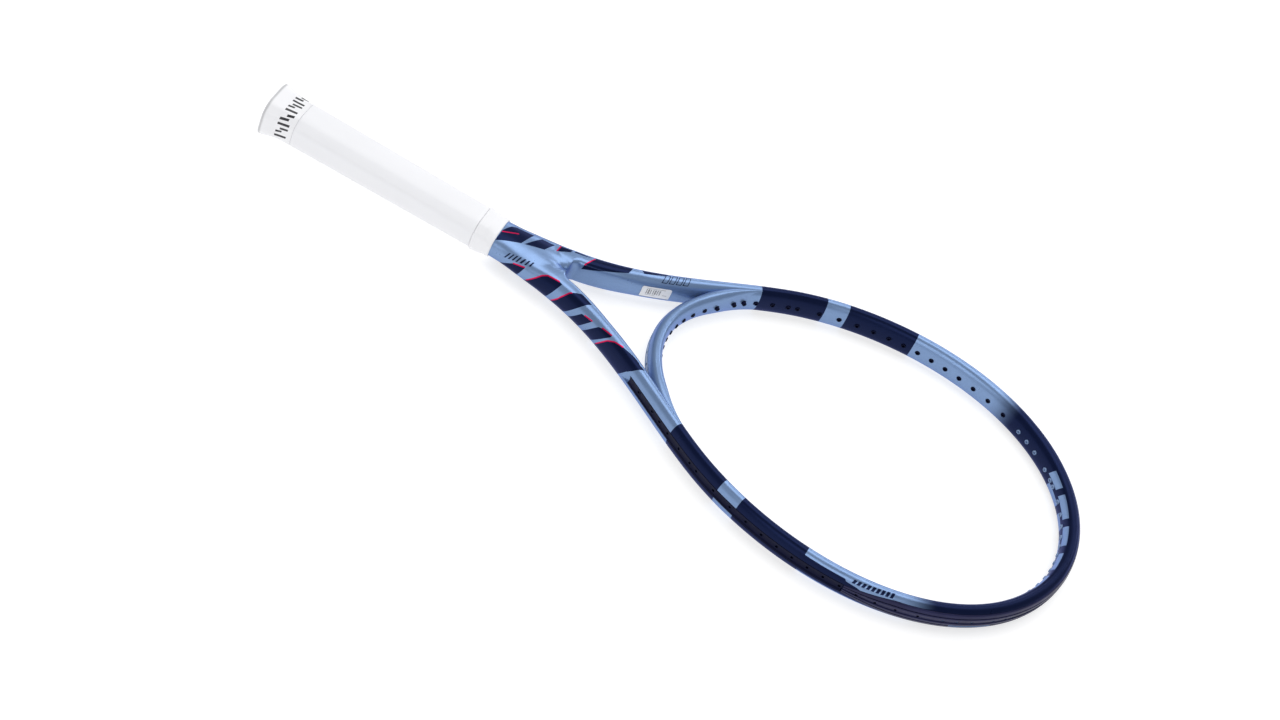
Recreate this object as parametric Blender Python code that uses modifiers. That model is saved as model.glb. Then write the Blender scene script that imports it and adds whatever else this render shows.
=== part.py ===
"""Tennis racket, unstrung. Metres, +Z up.

+X runs along the racket from the butt end (x = 0) to the tip, +Y is to the left, and the string
plane is z = 0. The racket lies flat. Dimensions below are in millimetres; MM turns them to metres.
"""

import math

import bmesh
import bpy
from mathutils import Vector

MM = 0.001

# Overall.
LENGTH = 685.8  # a standard 27 inch racket
GAP = 0.3  # clearance between touching pieces

# Hoop: an egg-shaped oval, as the centreline of the tube.
HOOP_CENTRE_X = 506.8
HOOP_HALF_LENGTH = 172.7
HOOP_HALF_WIDTH = 125.0
HOOP_EGG = 0.098  # the widest place lies nearer the tip
HOOP_STEPS = 32
ARM_STEPS = 15
ARM_LEAVES_DEG = 124.6  # where each arm leaves the oval, measured from the tip

# Arms and shaft.
ARM_BEND_NEAR_HOOP = 63.0
ARM_BEND_NEAR_SHAFT = 79.0
ARM_END_X = 218.0
ARM_END_Y = 11.6
CROTCH_X = 254.0  # foremost point of the web between the arms
CROTCH_RADIUS = 6.8
SHAFT_FLUSH_X = 224.0  # from here to the handle the two legs share one smooth skin
SHAFT_END_X = 6.0

# Tube section: half width in the string plane, and half height across it, by place.
SECTION_POWER = 2.22
SHAFT_POWER = 2.6
TUBE_HALF_WIDTHS = ((0.0, 6.36), (0.3, 6.19), (0.62, 5.46), (0.8, 6.74), (1.0, 7.3))
TUBE_HALF_HEIGHTS = ((190, 11.2), (300, 11.8), (400, 12.1), (520, 11.55), (690, 11.0))
SHAFT_HALF_WIDTHS = (
    (5, 10.8), (183, 10.8), (189, 13.6), (196, 15.7), (206, 16.2), (212, 17.0), (218, 18.1),
    (224, 19.2), (230, 20.1), (236, 20.9), (244, 21.8), (254, 22.8),
)
SHAFT_HALF_HEIGHTS = ((5, 8.8), (183, 8.8), (189, 10.3), (196, 11.2), (224, 11.4), (254, 11.5))
WALL = 1.6
CENTRE_WALL = 0.8  # each leg's share of the wall between them
CAVITY_SIDES = 6

# Outer channel that holds the grommet strips and the bumper guard.
CHANNEL_START_X = 334.0
CHANNEL_FULL_X = 338.0
CHANNEL_HALF_WIDTH = 4.3
CHANNEL_DEPTH = 1.7
BUMPER_START_X = 541.0
BUMPER_FULL_X = 577.0
BUMPER_HALF_WIDTH = 8.3
BUMPER_DEPTH = 1.5
STRIP_BASE = 0.8
STRIP_RAIL = 0.6

# Throat bridge.
BRIDGE_INSET = 3.8
BRIDGE_HALF_WIDTH = 5.5
BRIDGE_HALF_HEIGHT = 10.4
BRIDGE_END_DEG = 139.5
BRIDGE_BLEND_DEG = (28.0, 46.0)  # from the middle, where the inner side turns into the hoop's
BRIDGE_BLEND_REACH = 5.2  # inner side from the oval, where the blend ends
BRIDGE_CHANNEL_HALF_WIDTH = 3.4
BRIDGE_CHANNEL_DEPTH = 1.0

# String holes: 16 mains and 19 crosses, and two tie-off holes on each side.
MAIN_FIRST_Y = 4.6
MAIN_PITCH = 9.1
MAIN_SPREAD = 0.27
MAINS_PER_SIDE = 8
MAINS_THROUGH_BRIDGE = 5
CROSS_MIDDLE_X = 513.4
CROSS_PITCH = 12.5
CROSS_SPREAD = 0.035
CROSSES_PER_END = 9
TIE_OFF_XS = (407.0, 622.1)
HOLE_RADIUS = 2.15
BARREL_RADIUS = 1.75
BARREL_BORE = 1.1
BARREL_STANDS_OUT = 0.8
HOLE_SIDES = 6

# Handle.
HANDLE_CHAMFER = 0.42
GRIP_START_X = 26.5
GRIP_END_X = 188.0
GRIP_STEP_X = 180.5
GRIP_HALF_Y = ((26, 16.8), (40, 16.7), (190, 15.6))
GRIP_HALF_Z = ((26, 15.0), (40, 14.9), (190, 13.8))
GRIP_THICKNESS = 1.9
GRIP_END_THINNING = 1.1
PALLET_START_X = 4.4
PALLET_END_X = 182.0
TAPE_START_X = 181.6
TAPE_END_X = 187.4
TAPE_THICKNESS = 0.35
COLLAR_START_X = 180.9
COLLAR_END_X = 197.2
CAP_END_X = GRIP_START_X - GAP
CAP_PROFILE = (
    (0.0, 18.9, 17.1), (0.4, 19.5, 17.7), (1.4, 19.8, 18.0), (3.5, 19.5, 17.7), (7.0, 18.7, 16.9),
    (11.0, 17.9, 16.1), (16.0, 17.3, 15.5), (21.0, 16.95, 15.15), (CAP_END_X, 16.8, 15.0),
)
CAP_FLOOR = 4.1
STAPLE_X = 17.0
STAPLE_HALF_CROWN = 4.5
STAPLE_WIRE = 0.6
STAPLE_LEG = 4.2
PLATE_HALF_Y = 12.6
PLATE_HALF_Z = 11.2
PLATE_DEPTH = 2.4

# Sticker on the inner wall of the left arm.
STICKER_XS = (304.4, 305.2, 309.4, 314.4, 319.4, 323.8, 324.6)
STICKER_ZS = (-6.3, 5.1)
STICKER_CORNER = 1.0
STICKER_THICKNESS = 0.25


def at(table, x):
    """The value of a table of (x, value) pairs at x, on straight lines between its entries."""
    if x <= table[0][0]:
        return table[0][1]
    for (x0, v0), (x1, v1) in zip(table, table[1:]):
        if x <= x1:
            return v0 + (v1 - v0) * (x - x0) / (x1 - x0)
    return table[-1][1]


def mix(a, b, t):
    return a + (b - a) * t


def power(value, exponent):
    return math.copysign(abs(value) ** exponent, value)


# ---- scene and object helpers ----


def new_collection(name):
    collection = bpy.data.collections.new(name)
    bpy.context.scene.collection.children.link(collection)
    return collection


def clear_scene():
    for item in list(bpy.data.objects):
        bpy.data.objects.remove(item, do_unlink=True)
    for collection in list(bpy.data.collections):
        bpy.data.collections.remove(collection)


clear_scene()
PARTS = new_collection("tennis_racket")
CUTTERS = new_collection("racket_cutters")


def material(name, colour, roughness, metallic=0.0):
    made = bpy.data.materials.new(name)
    made.use_nodes = True
    made.diffuse_color = (*colour, 1.0)
    shader = made.node_tree.nodes["Principled BSDF"]
    shader.inputs["Base Color"].default_value = (*colour, 1.0)
    shader.inputs["Roughness"].default_value = roughness
    shader.inputs["Metallic"].default_value = metallic
    return made


def mesh_object(name, mesh, look, collection=PARTS):
    made = bpy.data.objects.new(name, mesh)
    collection.objects.link(made)
    if look is not None:
        mesh.materials.append(look)
    if collection is CUTTERS:
        made.hide_render = True
        made.display_type = "WIRE"
    return made


def mesh_from(name, body):
    bmesh.ops.recalc_face_normals(body, faces=body.faces)
    mesh = bpy.data.meshes.new(name)
    body.to_mesh(mesh)
    body.free()
    return mesh


def add_ring(body, points):
    return [body.verts.new((x * MM, y * MM, z * MM)) for x, y, z in points]


def bridge_rings(body, first, second, closed=True):
    count = len(first)
    for i in range(count if closed else count - 1):
        k = (i + 1) % count
        body.faces.new((first[i], first[k], second[k], second[i]))


def loft(rings):
    """A closed skin through rings of equal length, with a flat face on each end."""
    body = bmesh.new()
    made = [add_ring(body, ring) for ring in rings]
    for first, second in zip(made, made[1:]):
        bridge_rings(body, first, second)
    body.faces.new(made[0])
    body.faces.new(made[-1])
    return body


def sleeve(outer, inner):
    """A tube wall: outer rings out and inner rings back, joined at both ends."""
    body = bmesh.new()
    made = [add_ring(body, ring) for ring in list(outer) + list(reversed(inner))]
    for first, second in zip(made, made[1:] + made[:1]):
        bridge_rings(body, first, second)
    return body


def boolean(target, cutter, operation="DIFFERENCE"):
    step = target.modifiers.new(operation.lower(), "BOOLEAN")
    step.operation = operation
    step.solver = "EXACT"
    step.object = cutter


def mirror_y(target):
    step = target.modifiers.new("other half", "MIRROR")
    step.use_axis = (False, True, False)
    step.use_clip = True
    step.merge_threshold = 0.00001


# ---- the centreline of the tube ----


def hoop_point(degrees, inset=0.0):
    angle = math.radians(degrees)
    x = HOOP_CENTRE_X + (HOOP_HALF_LENGTH - inset) * math.cos(angle)
    y = HOOP_HALF_WIDTH * math.sin(angle) * (1 + HOOP_EGG * math.cos(angle))
    return Vector((x, y))


def hoop_normal(degrees, inset=0.0):
    """Out of the hoop, in the string plane."""
    along = hoop_point(degrees + 0.01, inset) - hoop_point(degrees - 0.01, inset)
    return Vector((along.y, -along.x)).normalized()


def arm_point(t):
    start = hoop_point(ARM_LEAVES_DEG)
    tangent = (hoop_point(ARM_LEAVES_DEG + 0.01) - start).normalized()
    end = Vector((ARM_END_X, ARM_END_Y))
    pull_start = start + tangent * ARM_BEND_NEAR_HOOP
    pull_end = end + Vector((ARM_BEND_NEAR_SHAFT, 0.0))
    s = 1 - t
    return start * s**3 + pull_start * (3 * s * s * t) + pull_end * (3 * s * t * t) + end * t**3


def arm_normal(t):
    along = arm_point(min(t + 0.001, 1.0)) - arm_point(max(t - 0.001, 0.0))
    return Vector((along.y, -along.x)).normalized()


def arm_t_at(x):
    low, high = 0.0, 1.0
    for _ in range(40):
        middle = (low + high) / 2
        if arm_point(middle).x > x:
            low = middle
        else:
            high = middle
    return (low + high) / 2


def hoop_angle_at_x(x):
    low, high = 0.0, 180.0
    for _ in range(40):
        middle = (low + high) / 2
        if hoop_point(middle).x > x:
            low = middle
        else:
            high = middle
    return (low + high) / 2


def hoop_angle_at_y(y, near_tip, inset=0.0):
    low, high = (0.0, 75.0) if near_tip else (180.0, 100.0)
    for _ in range(40):
        middle = (low + high) / 2
        if hoop_point(middle, inset).y < y:
            low = middle
        else:
            high = middle
    return (low + high) / 2


def path_length(points):
    return sum((b - a).length for a, b in zip(points, points[1:]))


HOOP_ARC = path_length([hoop_point(ARM_LEAVES_DEG * i / 60) for i in range(61)])
ARM_ARC = path_length([arm_point(i / 60) for i in range(61)])


# ---- the tube's section ----


def channel_at(x):
    """(half width, depth) of the outer channel at a place along the racket."""
    if x < CHANNEL_START_X:
        return CHANNEL_HALF_WIDTH, 0.0
    opening = min(1.0, (x - CHANNEL_START_X) / (CHANNEL_FULL_X - CHANNEL_START_X))
    widening = min(1.0, max(0.0, (x - BUMPER_START_X) / (BUMPER_FULL_X - BUMPER_START_X)))
    half = mix(CHANNEL_HALF_WIDTH, BUMPER_HALF_WIDTH, widening)
    return half, mix(CHANNEL_DEPTH * opening, BUMPER_DEPTH, widening)


def oval_out(half_width, half_height, z, exponent=SECTION_POWER):
    """How far the oval section reaches outwards at height z."""
    share = min(1.0, abs(z) / half_height)
    return half_width * (1 - share**exponent) ** (1 / exponent)


def tube_profile(wide_out, wide_in, high, channel, depth, grow=0.0, exponent=SECTION_POWER):
    """20 points (out, up) of the section, from the inner side over the top and back underneath."""
    wide_out, wide_in, high = wide_out + grow, wide_in + grow, high + grow
    lip_share = (channel / high) ** (exponent / 2)
    lip = math.degrees(math.asin(min(1.0, lip_share)))
    upper = []
    for i in range(8):
        angle = math.radians(mix(174.0, lip, i / 7))
        reach = wide_out if math.cos(angle) > 0 else wide_in
        upper.append((reach * power(math.cos(angle), 2 / exponent),
                      high * power(math.sin(angle), 2 / exponent)))
    for share in (0.97, 0.45):
        z = channel * mix(share * 0.8, share, min(1.0, depth / CHANNEL_DEPTH))
        upper.append((oval_out(wide_out - depth, high, z, exponent), z))
    return upper + [(out, -up) for out, up in reversed(upper)]


def place_profile(profile, centre, normal):
    return [(centre.x + normal.x * out, centre.y + normal.y * out, up) for out, up in profile]


def tube_half_height(x):
    return at(TUBE_HALF_HEIGHTS, x)


class Station:
    """One place along the half tube: its centre, its outward direction and its size."""

    def __init__(self, centre, normal, along):
        self.centre = centre
        self.normal = normal
        self.half_width = at(TUBE_HALF_WIDTHS, along / (HOOP_ARC + ARM_ARC))
        self.half_height = tube_half_height(centre.x)
        self.channel, self.depth = channel_at(centre.x)

    def square_to(self, normal):
        """The same tube cut at a slant, so that its width stays true."""
        self.half_width /= normal.dot(self.normal)
        self.normal = normal
        return self

    def ring(self, grow=0.0, use_channel=True, wide_in=None):
        depth = self.depth if use_channel else 0.0
        inward = self.half_width if wide_in is None else wide_in
        profile = tube_profile(self.half_width, inward, self.half_height, self.channel, depth, grow)
        return place_profile(profile, self.centre, self.normal)

    def cavity(self):
        points = []
        outward = self.half_width - self.depth - WALL
        inward = self.half_width - WALL
        for i in range(CAVITY_SIDES):
            angle = 2 * math.pi * (i + 0.5) / CAVITY_SIDES
            reach = outward if math.cos(angle) > 0 else inward
            points.append((reach * power(math.cos(angle), 0.8),
                           (self.half_height - WALL) * power(math.sin(angle), 0.8)))
        return place_profile(points, self.centre, self.normal)


def hoop_station(degrees):
    along = HOOP_ARC * degrees / ARM_LEAVES_DEG
    return Station(hoop_point(degrees), hoop_normal(degrees), along)


def arm_station(t):
    centre = arm_point(t)
    # Towards the crotch the sections turn square to the racket's length.
    turn = min(1.0, max(0.0, (290.0 - centre.x) / 38.0))
    normal = arm_normal(t).lerp(Vector((0.0, 1.0)), turn).normalized()
    return Station(centre, arm_normal(t), HOOP_ARC + ARM_ARC * t).square_to(normal)


def station_at(x):
    """The station of the half tube at a place along the racket."""
    if x < hoop_point(ARM_LEAVES_DEG).x:
        return arm_station(arm_t_at(x))
    return hoop_station(hoop_angle_at_x(x))


def tube_stations(last_x):
    """Stations from the tip to last_x, with one at each place where the channel changes."""
    made = [hoop_station(ARM_LEAVES_DEG * i / HOOP_STEPS) for i in range(HOOP_STEPS)]
    last = arm_t_at(last_x)
    made += [arm_station(last * i / ARM_STEPS) for i in range(ARM_STEPS + 1)]
    free = list(made)
    for x in (BUMPER_FULL_X, BUMPER_START_X, CHANNEL_FULL_X, CHANNEL_START_X):
        near = min(free, key=lambda station: abs(station.centre.x - x))
        free.remove(near)
        if x > last_x:
            made[made.index(near)] = station_at(x)
    return made


# ---- the hairpin frame ----


def lobe_ring(x, reach_in):
    """A leg's section near the crotch, with its inner side reaching to y = reach_in."""
    t = arm_t_at(x)
    station = Station(arm_point(t), arm_normal(t), HOOP_ARC + ARM_ARC * t)
    return station.square_to(Vector((0.0, 1.0))).ring(wide_in=station.centre.y - reach_in)


def shaft_ring(x):
    """Half of the shared skin: 20 points from the top middle, round the side, to the bottom middle."""
    wide, high = at(SHAFT_HALF_WIDTHS, x), at(SHAFT_HALF_HEIGHTS, x)
    upper = []
    for i in range(10):
        angle = math.radians(mix(90.0, 6.0, i / 9))
        upper.append((x, wide * power(math.cos(angle), 2 / SHAFT_POWER),
                      high * power(math.sin(angle), 2 / SHAFT_POWER)))
    upper[0] = (x, 0.0, high)
    return upper + [(px, py, -pz) for px, py, pz in reversed(upper)]


def leg_cavity(x):
    wide, high = at(SHAFT_HALF_WIDTHS, x), at(SHAFT_HALF_HEIGHTS, x)
    centre = (wide - WALL + CENTRE_WALL) / 2
    half = (wide - WALL - CENTRE_WALL) / 2
    points = []
    for i in range(CAVITY_SIDES):
        angle = 2 * math.pi * (i + 0.5) / CAVITY_SIDES
        points.append((x, centre + half * power(math.cos(angle), 0.7),
                       (high - WALL) * 0.95 * power(math.sin(angle), 0.7)))
    return points


def on_middle(ring):
    """The ring with its first and last points exactly on the middle plane."""
    fixed = list(ring)
    fixed[0] = (fixed[0][0], 0.0, fixed[0][2])
    fixed[-1] = (fixed[-1][0], 0.0, fixed[-1][2])
    return fixed


def frame_rings():
    """(closed outer rings, open outer rings, cavity rings) of the half frame, tip to shaft end."""
    stations = tube_stations(CROTCH_X + CROTCH_RADIUS)
    closed = [station.ring() for station in stations]
    closed[0] = [(px, 0.0, pz) for px, _, pz in closed[0]]
    cavity = [station.cavity() for station in stations[::2]]
    cavity[0] = [(px, 0.0, pz) for px, _, pz in cavity[0]]
    side = stations[-1].centre.y - stations[-1].half_width
    for degrees in (30.0, 60.0, 80.0, 90.0):
        angle = math.radians(degrees)
        x = CROTCH_X + CROTCH_RADIUS * (1 - math.sin(angle))
        closed.append(lobe_ring(x, side * math.cos(angle)))
    closed[-1] = on_middle(closed[-1])
    opened = []
    steps = 7
    for i in range(1, steps + 1):
        share = i / steps
        x = mix(CROTCH_X, SHAFT_FLUSH_X, share)
        rise = math.sqrt(1 - (1 - share) ** 2)
        lobe = lobe_ring(x, 0.0)
        shared = shaft_ring(x)
        opened.append(on_middle([tuple(mix(a, b, rise) for a, b in zip(p, q))
                                 for p, q in zip(lobe, shared)]))
    for x in (217, 210, 203, 196, 192.5, 189, 186, 183, 120, 60, SHAFT_END_X):
        opened.append(on_middle(shaft_ring(x)))
    for x in (236, 224, 210, 196, 189, 183, 120, 60, SHAFT_END_X):
        cavity.append(leg_cavity(x))
    return closed, opened, cavity


def half_frame():
    closed, opened, cavity = frame_rings()
    body = bmesh.new()
    outer = [add_ring(body, ring) for ring in closed]
    for first, second in zip(outer, outer[1:]):
        bridge_rings(body, first, second)
    tail = [outer[-1]] + [add_ring(body, ring) for ring in opened]
    for first, second in zip(tail, tail[1:]):
        bridge_rings(body, first, second, closed=False)
    inner = [add_ring(body, ring) for ring in cavity]
    for first, second in zip(inner, inner[1:]):
        bridge_rings(body, first, second)
    # The open end of the leg: one flat face with the cavity's mouth in it.
    rim, mouth = tail[-1], inner[-1]
    edges = [body.edges.get((a, b)) for a, b in zip(rim, rim[1:])]
    edges.append(body.edges.new((rim[-1], rim[0])))
    edges += [body.edges.get((a, b)) for a, b in zip(mouth, mouth[1:] + mouth[:1])]
    bmesh.ops.triangle_fill(body, edges=edges, use_beauty=True)
    return body


# ---- string holes ----


class StringHole:
    """One string hole: where it lies on the oval, its direction, and which strip lines it."""

    def __init__(self, degrees, strip, inset=0.0):
        self.point = hoop_point(degrees, inset)
        self.out = hoop_normal(degrees, inset)
        self.strip = strip


def side_of_tube(x):
    return "bumper" if x > BUMPER_START_X else "side"


def string_holes():
    made = []
    for k in range(MAINS_PER_SIDE):
        y = MAIN_FIRST_Y + MAIN_PITCH * k + MAIN_SPREAD * k * k
        made.append(StringHole(hoop_angle_at_y(y, True), "bumper"))
        if k < MAINS_THROUGH_BRIDGE:
            degrees = hoop_angle_at_y(y, False, BRIDGE_INSET)
            made.append(StringHole(degrees, "throat", BRIDGE_INSET))
        else:
            made.append(StringHole(hoop_angle_at_y(y, False), "side"))
    for j in range(-CROSSES_PER_END, CROSSES_PER_END + 1):
        x = CROSS_MIDDLE_X + CROSS_PITCH * j + CROSS_SPREAD * j**3
        made.append(StringHole(hoop_angle_at_x(x), side_of_tube(x)))
    for x in TIE_OFF_XS:
        made.append(StringHole(hoop_angle_at_x(x), side_of_tube(x)))
    return made


def floor_point(station):
    return station.centre + station.normal * (station.half_width - station.depth)


HOLES = string_holes()
FLOOR_PATH = [floor_point(station) for station in tube_stations(330.0)]


def reach_to_floor(hole):
    """How far along the hole, from the oval's centreline, the channel's floor lies."""
    if hole.strip == "throat":
        return BRIDGE_HALF_WIDTH - BRIDGE_CHANNEL_DEPTH
    best = None
    for a, b in zip(FLOOR_PATH, FLOOR_PATH[1:]):
        along = b - a
        cross = hole.out.x * along.y - hole.out.y * along.x
        if abs(cross) < 1e-9:
            continue
        offset = a - hole.point
        distance = (offset.x * along.y - offset.y * along.x) / cross
        share = (offset.x * hole.out.y - offset.y * hole.out.x) / cross
        if -1e-6 <= share <= 1 + 1e-6 and distance > 0 and (best is None or distance < best):
            best = distance
    return best


def inner_reach(hole):
    """How far inwards from the centreline the inner wall lies."""
    if hole.strip == "throat":
        return BRIDGE_HALF_WIDTH
    if hole.point.x < 380:
        return BRIDGE_HALF_WIDTH + 1.0
    along = HOOP_ARC * hoop_angle_at_x(hole.point.x) / ARM_LEAVES_DEG
    return at(TUBE_HALF_WIDTHS, min(along, HOOP_ARC) / (HOOP_ARC + ARM_ARC))


def prism(body, hole, side, start, end, radius):
    """A six-sided rod along the hole, from start to end, on the given side of the racket."""
    out = Vector((hole.out.x, hole.out.y * side, 0.0))
    base = Vector((hole.point.x, hole.point.y * side, 0.0))
    across = Vector((-out.y, out.x, 0.0))
    ends = []
    for distance in (start, end):
        ring = []
        for i in range(HOLE_SIDES):
            angle = 2 * math.pi * (i + 0.5) / HOLE_SIDES
            offset = across * (radius * math.cos(angle)) + Vector((0, 0, radius * math.sin(angle)))
            ring.append(tuple(base + out * distance + offset))
        ends.append(add_ring(body, ring))
    bridge_rings(body, ends[0], ends[1])
    body.faces.new(ends[0])
    body.faces.new(ends[1])


def prisms(name, holes, sides, start, end, radius):
    body = bmesh.new()
    for hole in holes:
        for side in sides:
            prism(body, hole, side, start(hole), end(hole), radius)
    return mesh_object(name, mesh_from(name, body), None, CUTTERS)


# ---- strips ----


def strip_body(stations, profile_of):
    rings = [place_profile(profile_of(s), s.centre, s.normal) for s in stations]
    return loft(rings)


def mirrored(body):
    """The same shape on the other side of the racket."""
    bmesh.ops.scale(body, vec=(1, -1, 1), verts=body.verts)
    return body


def side_strip_profile(station):
    """A shallow U in the channel: a flat base with a rail along each edge."""
    half = station.channel - GAP - 0.15
    floor = station.half_width - station.depth + 0.05
    base = floor + STRIP_BASE * min(1.0, station.depth / CHANNEL_DEPTH)
    rail = base + STRIP_RAIL * min(1.0, station.depth / CHANNEL_DEPTH)

    def low(z):
        return GAP + oval_out(station.half_width - station.depth, station.half_height, z)

    return [
        (low(half), half), (rail, half), (rail, half - 0.9), (base, half - 1.2),
        (base, 1.2 - half), (rail, 0.9 - half), (rail, -half), (low(half), -half),
        (low(0) - 0.02, 0.0),
    ]


def bumper_profile(station):
    """A guard that fills the wide channel and stands slightly proud of the tube."""
    half = station.channel - GAP - 0.1
    inner = station.half_width - station.depth + GAP
    proud = station.half_width + 0.35
    high = station.half_height
    lows = [(oval_out(inner, high, half * s), half * s) for s in (-1, -0.5, 0, 0.5, 1)]
    outs = [(oval_out(proud, high + 0.35, half * s), half * s)
            for s in (0.97, 0.72, 0.3, -0.3, -0.72, -0.97)]
    return lows + outs


def stations_between(start_x, end_x):
    """Stations of the half tube whose x lies between the two, from the shaft side to the tip."""
    every = tube_stations(CROTCH_X + CROTCH_RADIUS)
    kept = [s for s in every if start_x < s.centre.x < end_x]
    kept.sort(key=lambda s: s.centre.x)
    return kept


def base_top(hole):
    return reach_to_floor(hole) + GAP + STRIP_BASE * 0.5


def barrel_tip(hole):
    return -(inner_reach(hole) + BARREL_STANDS_OUT)


def add_barrels(strip, name, holes, sides, top=base_top):
    boolean(strip, prisms(f"{name}_barrels", holes, sides, barrel_tip, top, BARREL_RADIUS), "UNION")
    bores = prisms(f"{name}_bores", holes, sides,
                   lambda h: barrel_tip(h) - 2, lambda h: top(h) + 4, BARREL_BORE)
    boolean(strip, bores)


# ---- handle sections ----


def octagon(x, half_y, half_z, soften=0.16):
    """Sixteen points: an eight-sided section with each corner cut once more."""
    flat_y, flat_z = half_y * (1 - HANDLE_CHAMFER), half_z * (1 - HANDLE_CHAMFER)
    corners = [(half_y, flat_z), (flat_y, half_z), (-flat_y, half_z), (-half_y, flat_z),
               (-half_y, -flat_z), (-flat_y, -half_z), (flat_y, -half_z), (half_y, -flat_z)]
    points = []
    for i, (y, z) in enumerate(corners):
        before, after = corners[i - 1], corners[(i + 1) % 8]
        for other in (before, after):
            points.append((x, mix(y, other[0], soften), mix(z, other[1], soften)))
    return points


def oval(x, half_y, half_z, exponent, count=16):
    points = []
    for i in range(count):
        angle = 2 * math.pi * (i + 0.5) / count + math.radians(11.25)
        points.append((x, half_y * power(math.cos(angle), 2 / exponent),
                       half_z * power(math.sin(angle), 2 / exponent)))
    return points


def grip_ring(x, less=0.0):
    return octagon(x, at(GRIP_HALF_Y, x) - less, at(GRIP_HALF_Z, x) - less)


def pallet_half(name, side, look):
    """A half shell of the octagonal handle, hollowed for the shaft."""
    rings = []
    for x in (PALLET_START_X, 60.0, 120.0, PALLET_END_X):
        ring = grip_ring(x, GRIP_THICKNESS + GAP)
        outer = [(y, z) for _, y, z in ring if z > 0]
        outer.sort(key=lambda p: -p[0])
        wide, high = 10.8 + GAP, 8.8 + GAP
        inner = []
        for i in range(9):
            angle = math.radians(mix(180.0, 0.0, i / 8))
            inner.append((wide * power(math.cos(angle), 2 / SHAFT_POWER),
                          max(0.15, high * power(math.sin(angle), 2 / SHAFT_POWER))))
        rim = at(GRIP_HALF_Y, x) - GRIP_THICKNESS - GAP
        loop = [(rim, 0.15)] + outer + [(-rim, 0.15)] + inner
        rings.append([(x, y, z * side) for y, z in loop])
    return mesh_object(name, mesh_from(name, loft(rings)), look)


def staple_body(x, surface, turned, grow=0.0):
    """A wire staple driven in at the surface: upright on the left side, or turned underneath."""
    half, wire = STAPLE_HALF_CROWN, STAPLE_WIRE
    leg = STAPLE_LEG + grow
    top, wide, core = grow * 4, half + grow, half - wire - grow
    outline = [(-wide, top), (wide, top), (wide, -leg), (core, -leg), (core, -wire - grow),
               (-core, -wire - grow), (-core, -leg), (-wide, -leg)]
    rings = []
    for offset in (-wire / 2 - grow, wire / 2 + grow):
        if turned:
            rings.append([(x + offset, along, -surface - depth) for along, depth in outline])
        else:
            rings.append([(x + offset, surface + depth, along) for along, depth in outline])
    return loft(rings)


# ---- looks ----

PAINT = material("racket_paint", (0.27, 0.44, 0.72), 0.35, 0.2)
NAVY_PLASTIC = material("navy_plastic", (0.022, 0.03, 0.075), 0.4)
STRIP_PLASTIC = material("strip_plastic", (0.012, 0.016, 0.035), 0.45)
GRIP_WHITE = material("grip_white", (0.86, 0.86, 0.88), 0.6)
CAP_WHITE = material("cap_white", (0.88, 0.88, 0.9), 0.4)
RUBBER_WHITE = material("rubber_white", (0.88, 0.88, 0.9), 0.5)
FOAM = material("pallet_foam", (0.16, 0.15, 0.13), 0.85)
STEEL = material("staple_steel", (0.6, 0.6, 0.62), 0.3, 1.0)
LEAD = material("weight_metal", (0.3, 0.3, 0.32), 0.5, 1.0)
TAPE = material("finishing_tape", (0.8, 0.8, 0.82), 0.5)
PAPER = material("sticker_paper", (0.9, 0.9, 0.9), 0.6)


# ---- build: frame and bridge ----


def build_frame():
    frame = mesh_object("hairpin_frame", mesh_from("hairpin_frame", half_frame()), PAINT)
    mirror_y(frame)
    tube_holes = [h for h in HOLES if h.strip != "throat"]
    cutter = prisms("string_hole_cutter", tube_holes, (1, -1),
                    lambda h: -(inner_reach(h) + 3), lambda h: reach_to_floor(h) + 4, HOLE_RADIUS)
    boolean(frame, cutter)
    return cutter


def bridge_reach_in(degrees):
    """Inner side of the bridge, from its own centreline."""
    start, end = BRIDGE_BLEND_DEG
    share = min(1.0, max(0.0, (abs(degrees - 180.0) - start) / (end - start)))
    share = share * share * (3 - 2 * share)
    return mix(BRIDGE_HALF_WIDTH, BRIDGE_BLEND_REACH - BRIDGE_INSET, share)


def build_bridge(hole_cutter):
    rings = []
    steps = 24
    for i in range(steps + 1):
        degrees = mix(BRIDGE_END_DEG, 360 - BRIDGE_END_DEG, i / steps)
        centre = hoop_point(degrees, BRIDGE_INSET)
        profile = tube_profile(BRIDGE_HALF_WIDTH, bridge_reach_in(degrees), BRIDGE_HALF_HEIGHT,
                               BRIDGE_CHANNEL_HALF_WIDTH, BRIDGE_CHANNEL_DEPTH)
        rings.append(place_profile(profile, centre, hoop_normal(degrees, BRIDGE_INSET)))
    bridge = mesh_object("throat_bridge", mesh_from("throat_bridge", loft(rings)), PAINT)
    stations = [s for s in tube_stations(CROTCH_X + CROTCH_RADIUS) if 300 < s.centre.x < 450]
    for side, word in ((1, "left"), (-1, "right")):
        body = loft([s.ring(grow=GAP, use_channel=False) for s in stations])
        if side < 0:
            mirrored(body)
        name = f"arm_clearance_{word}"
        boolean(bridge, mesh_object(name, mesh_from(name, body), None, CUTTERS))
    throat = [h for h in HOLES if h.strip == "throat"]
    own = prisms("throat_hole_cutter", throat, (1, -1),
                 lambda h: -(inner_reach(h) + 3), lambda h: reach_to_floor(h) + 4, HOLE_RADIUS)
    boolean(bridge, own)
    boolean(bridge, hole_cutter)


# ---- build: grommet strips and bumper guard ----


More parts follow.
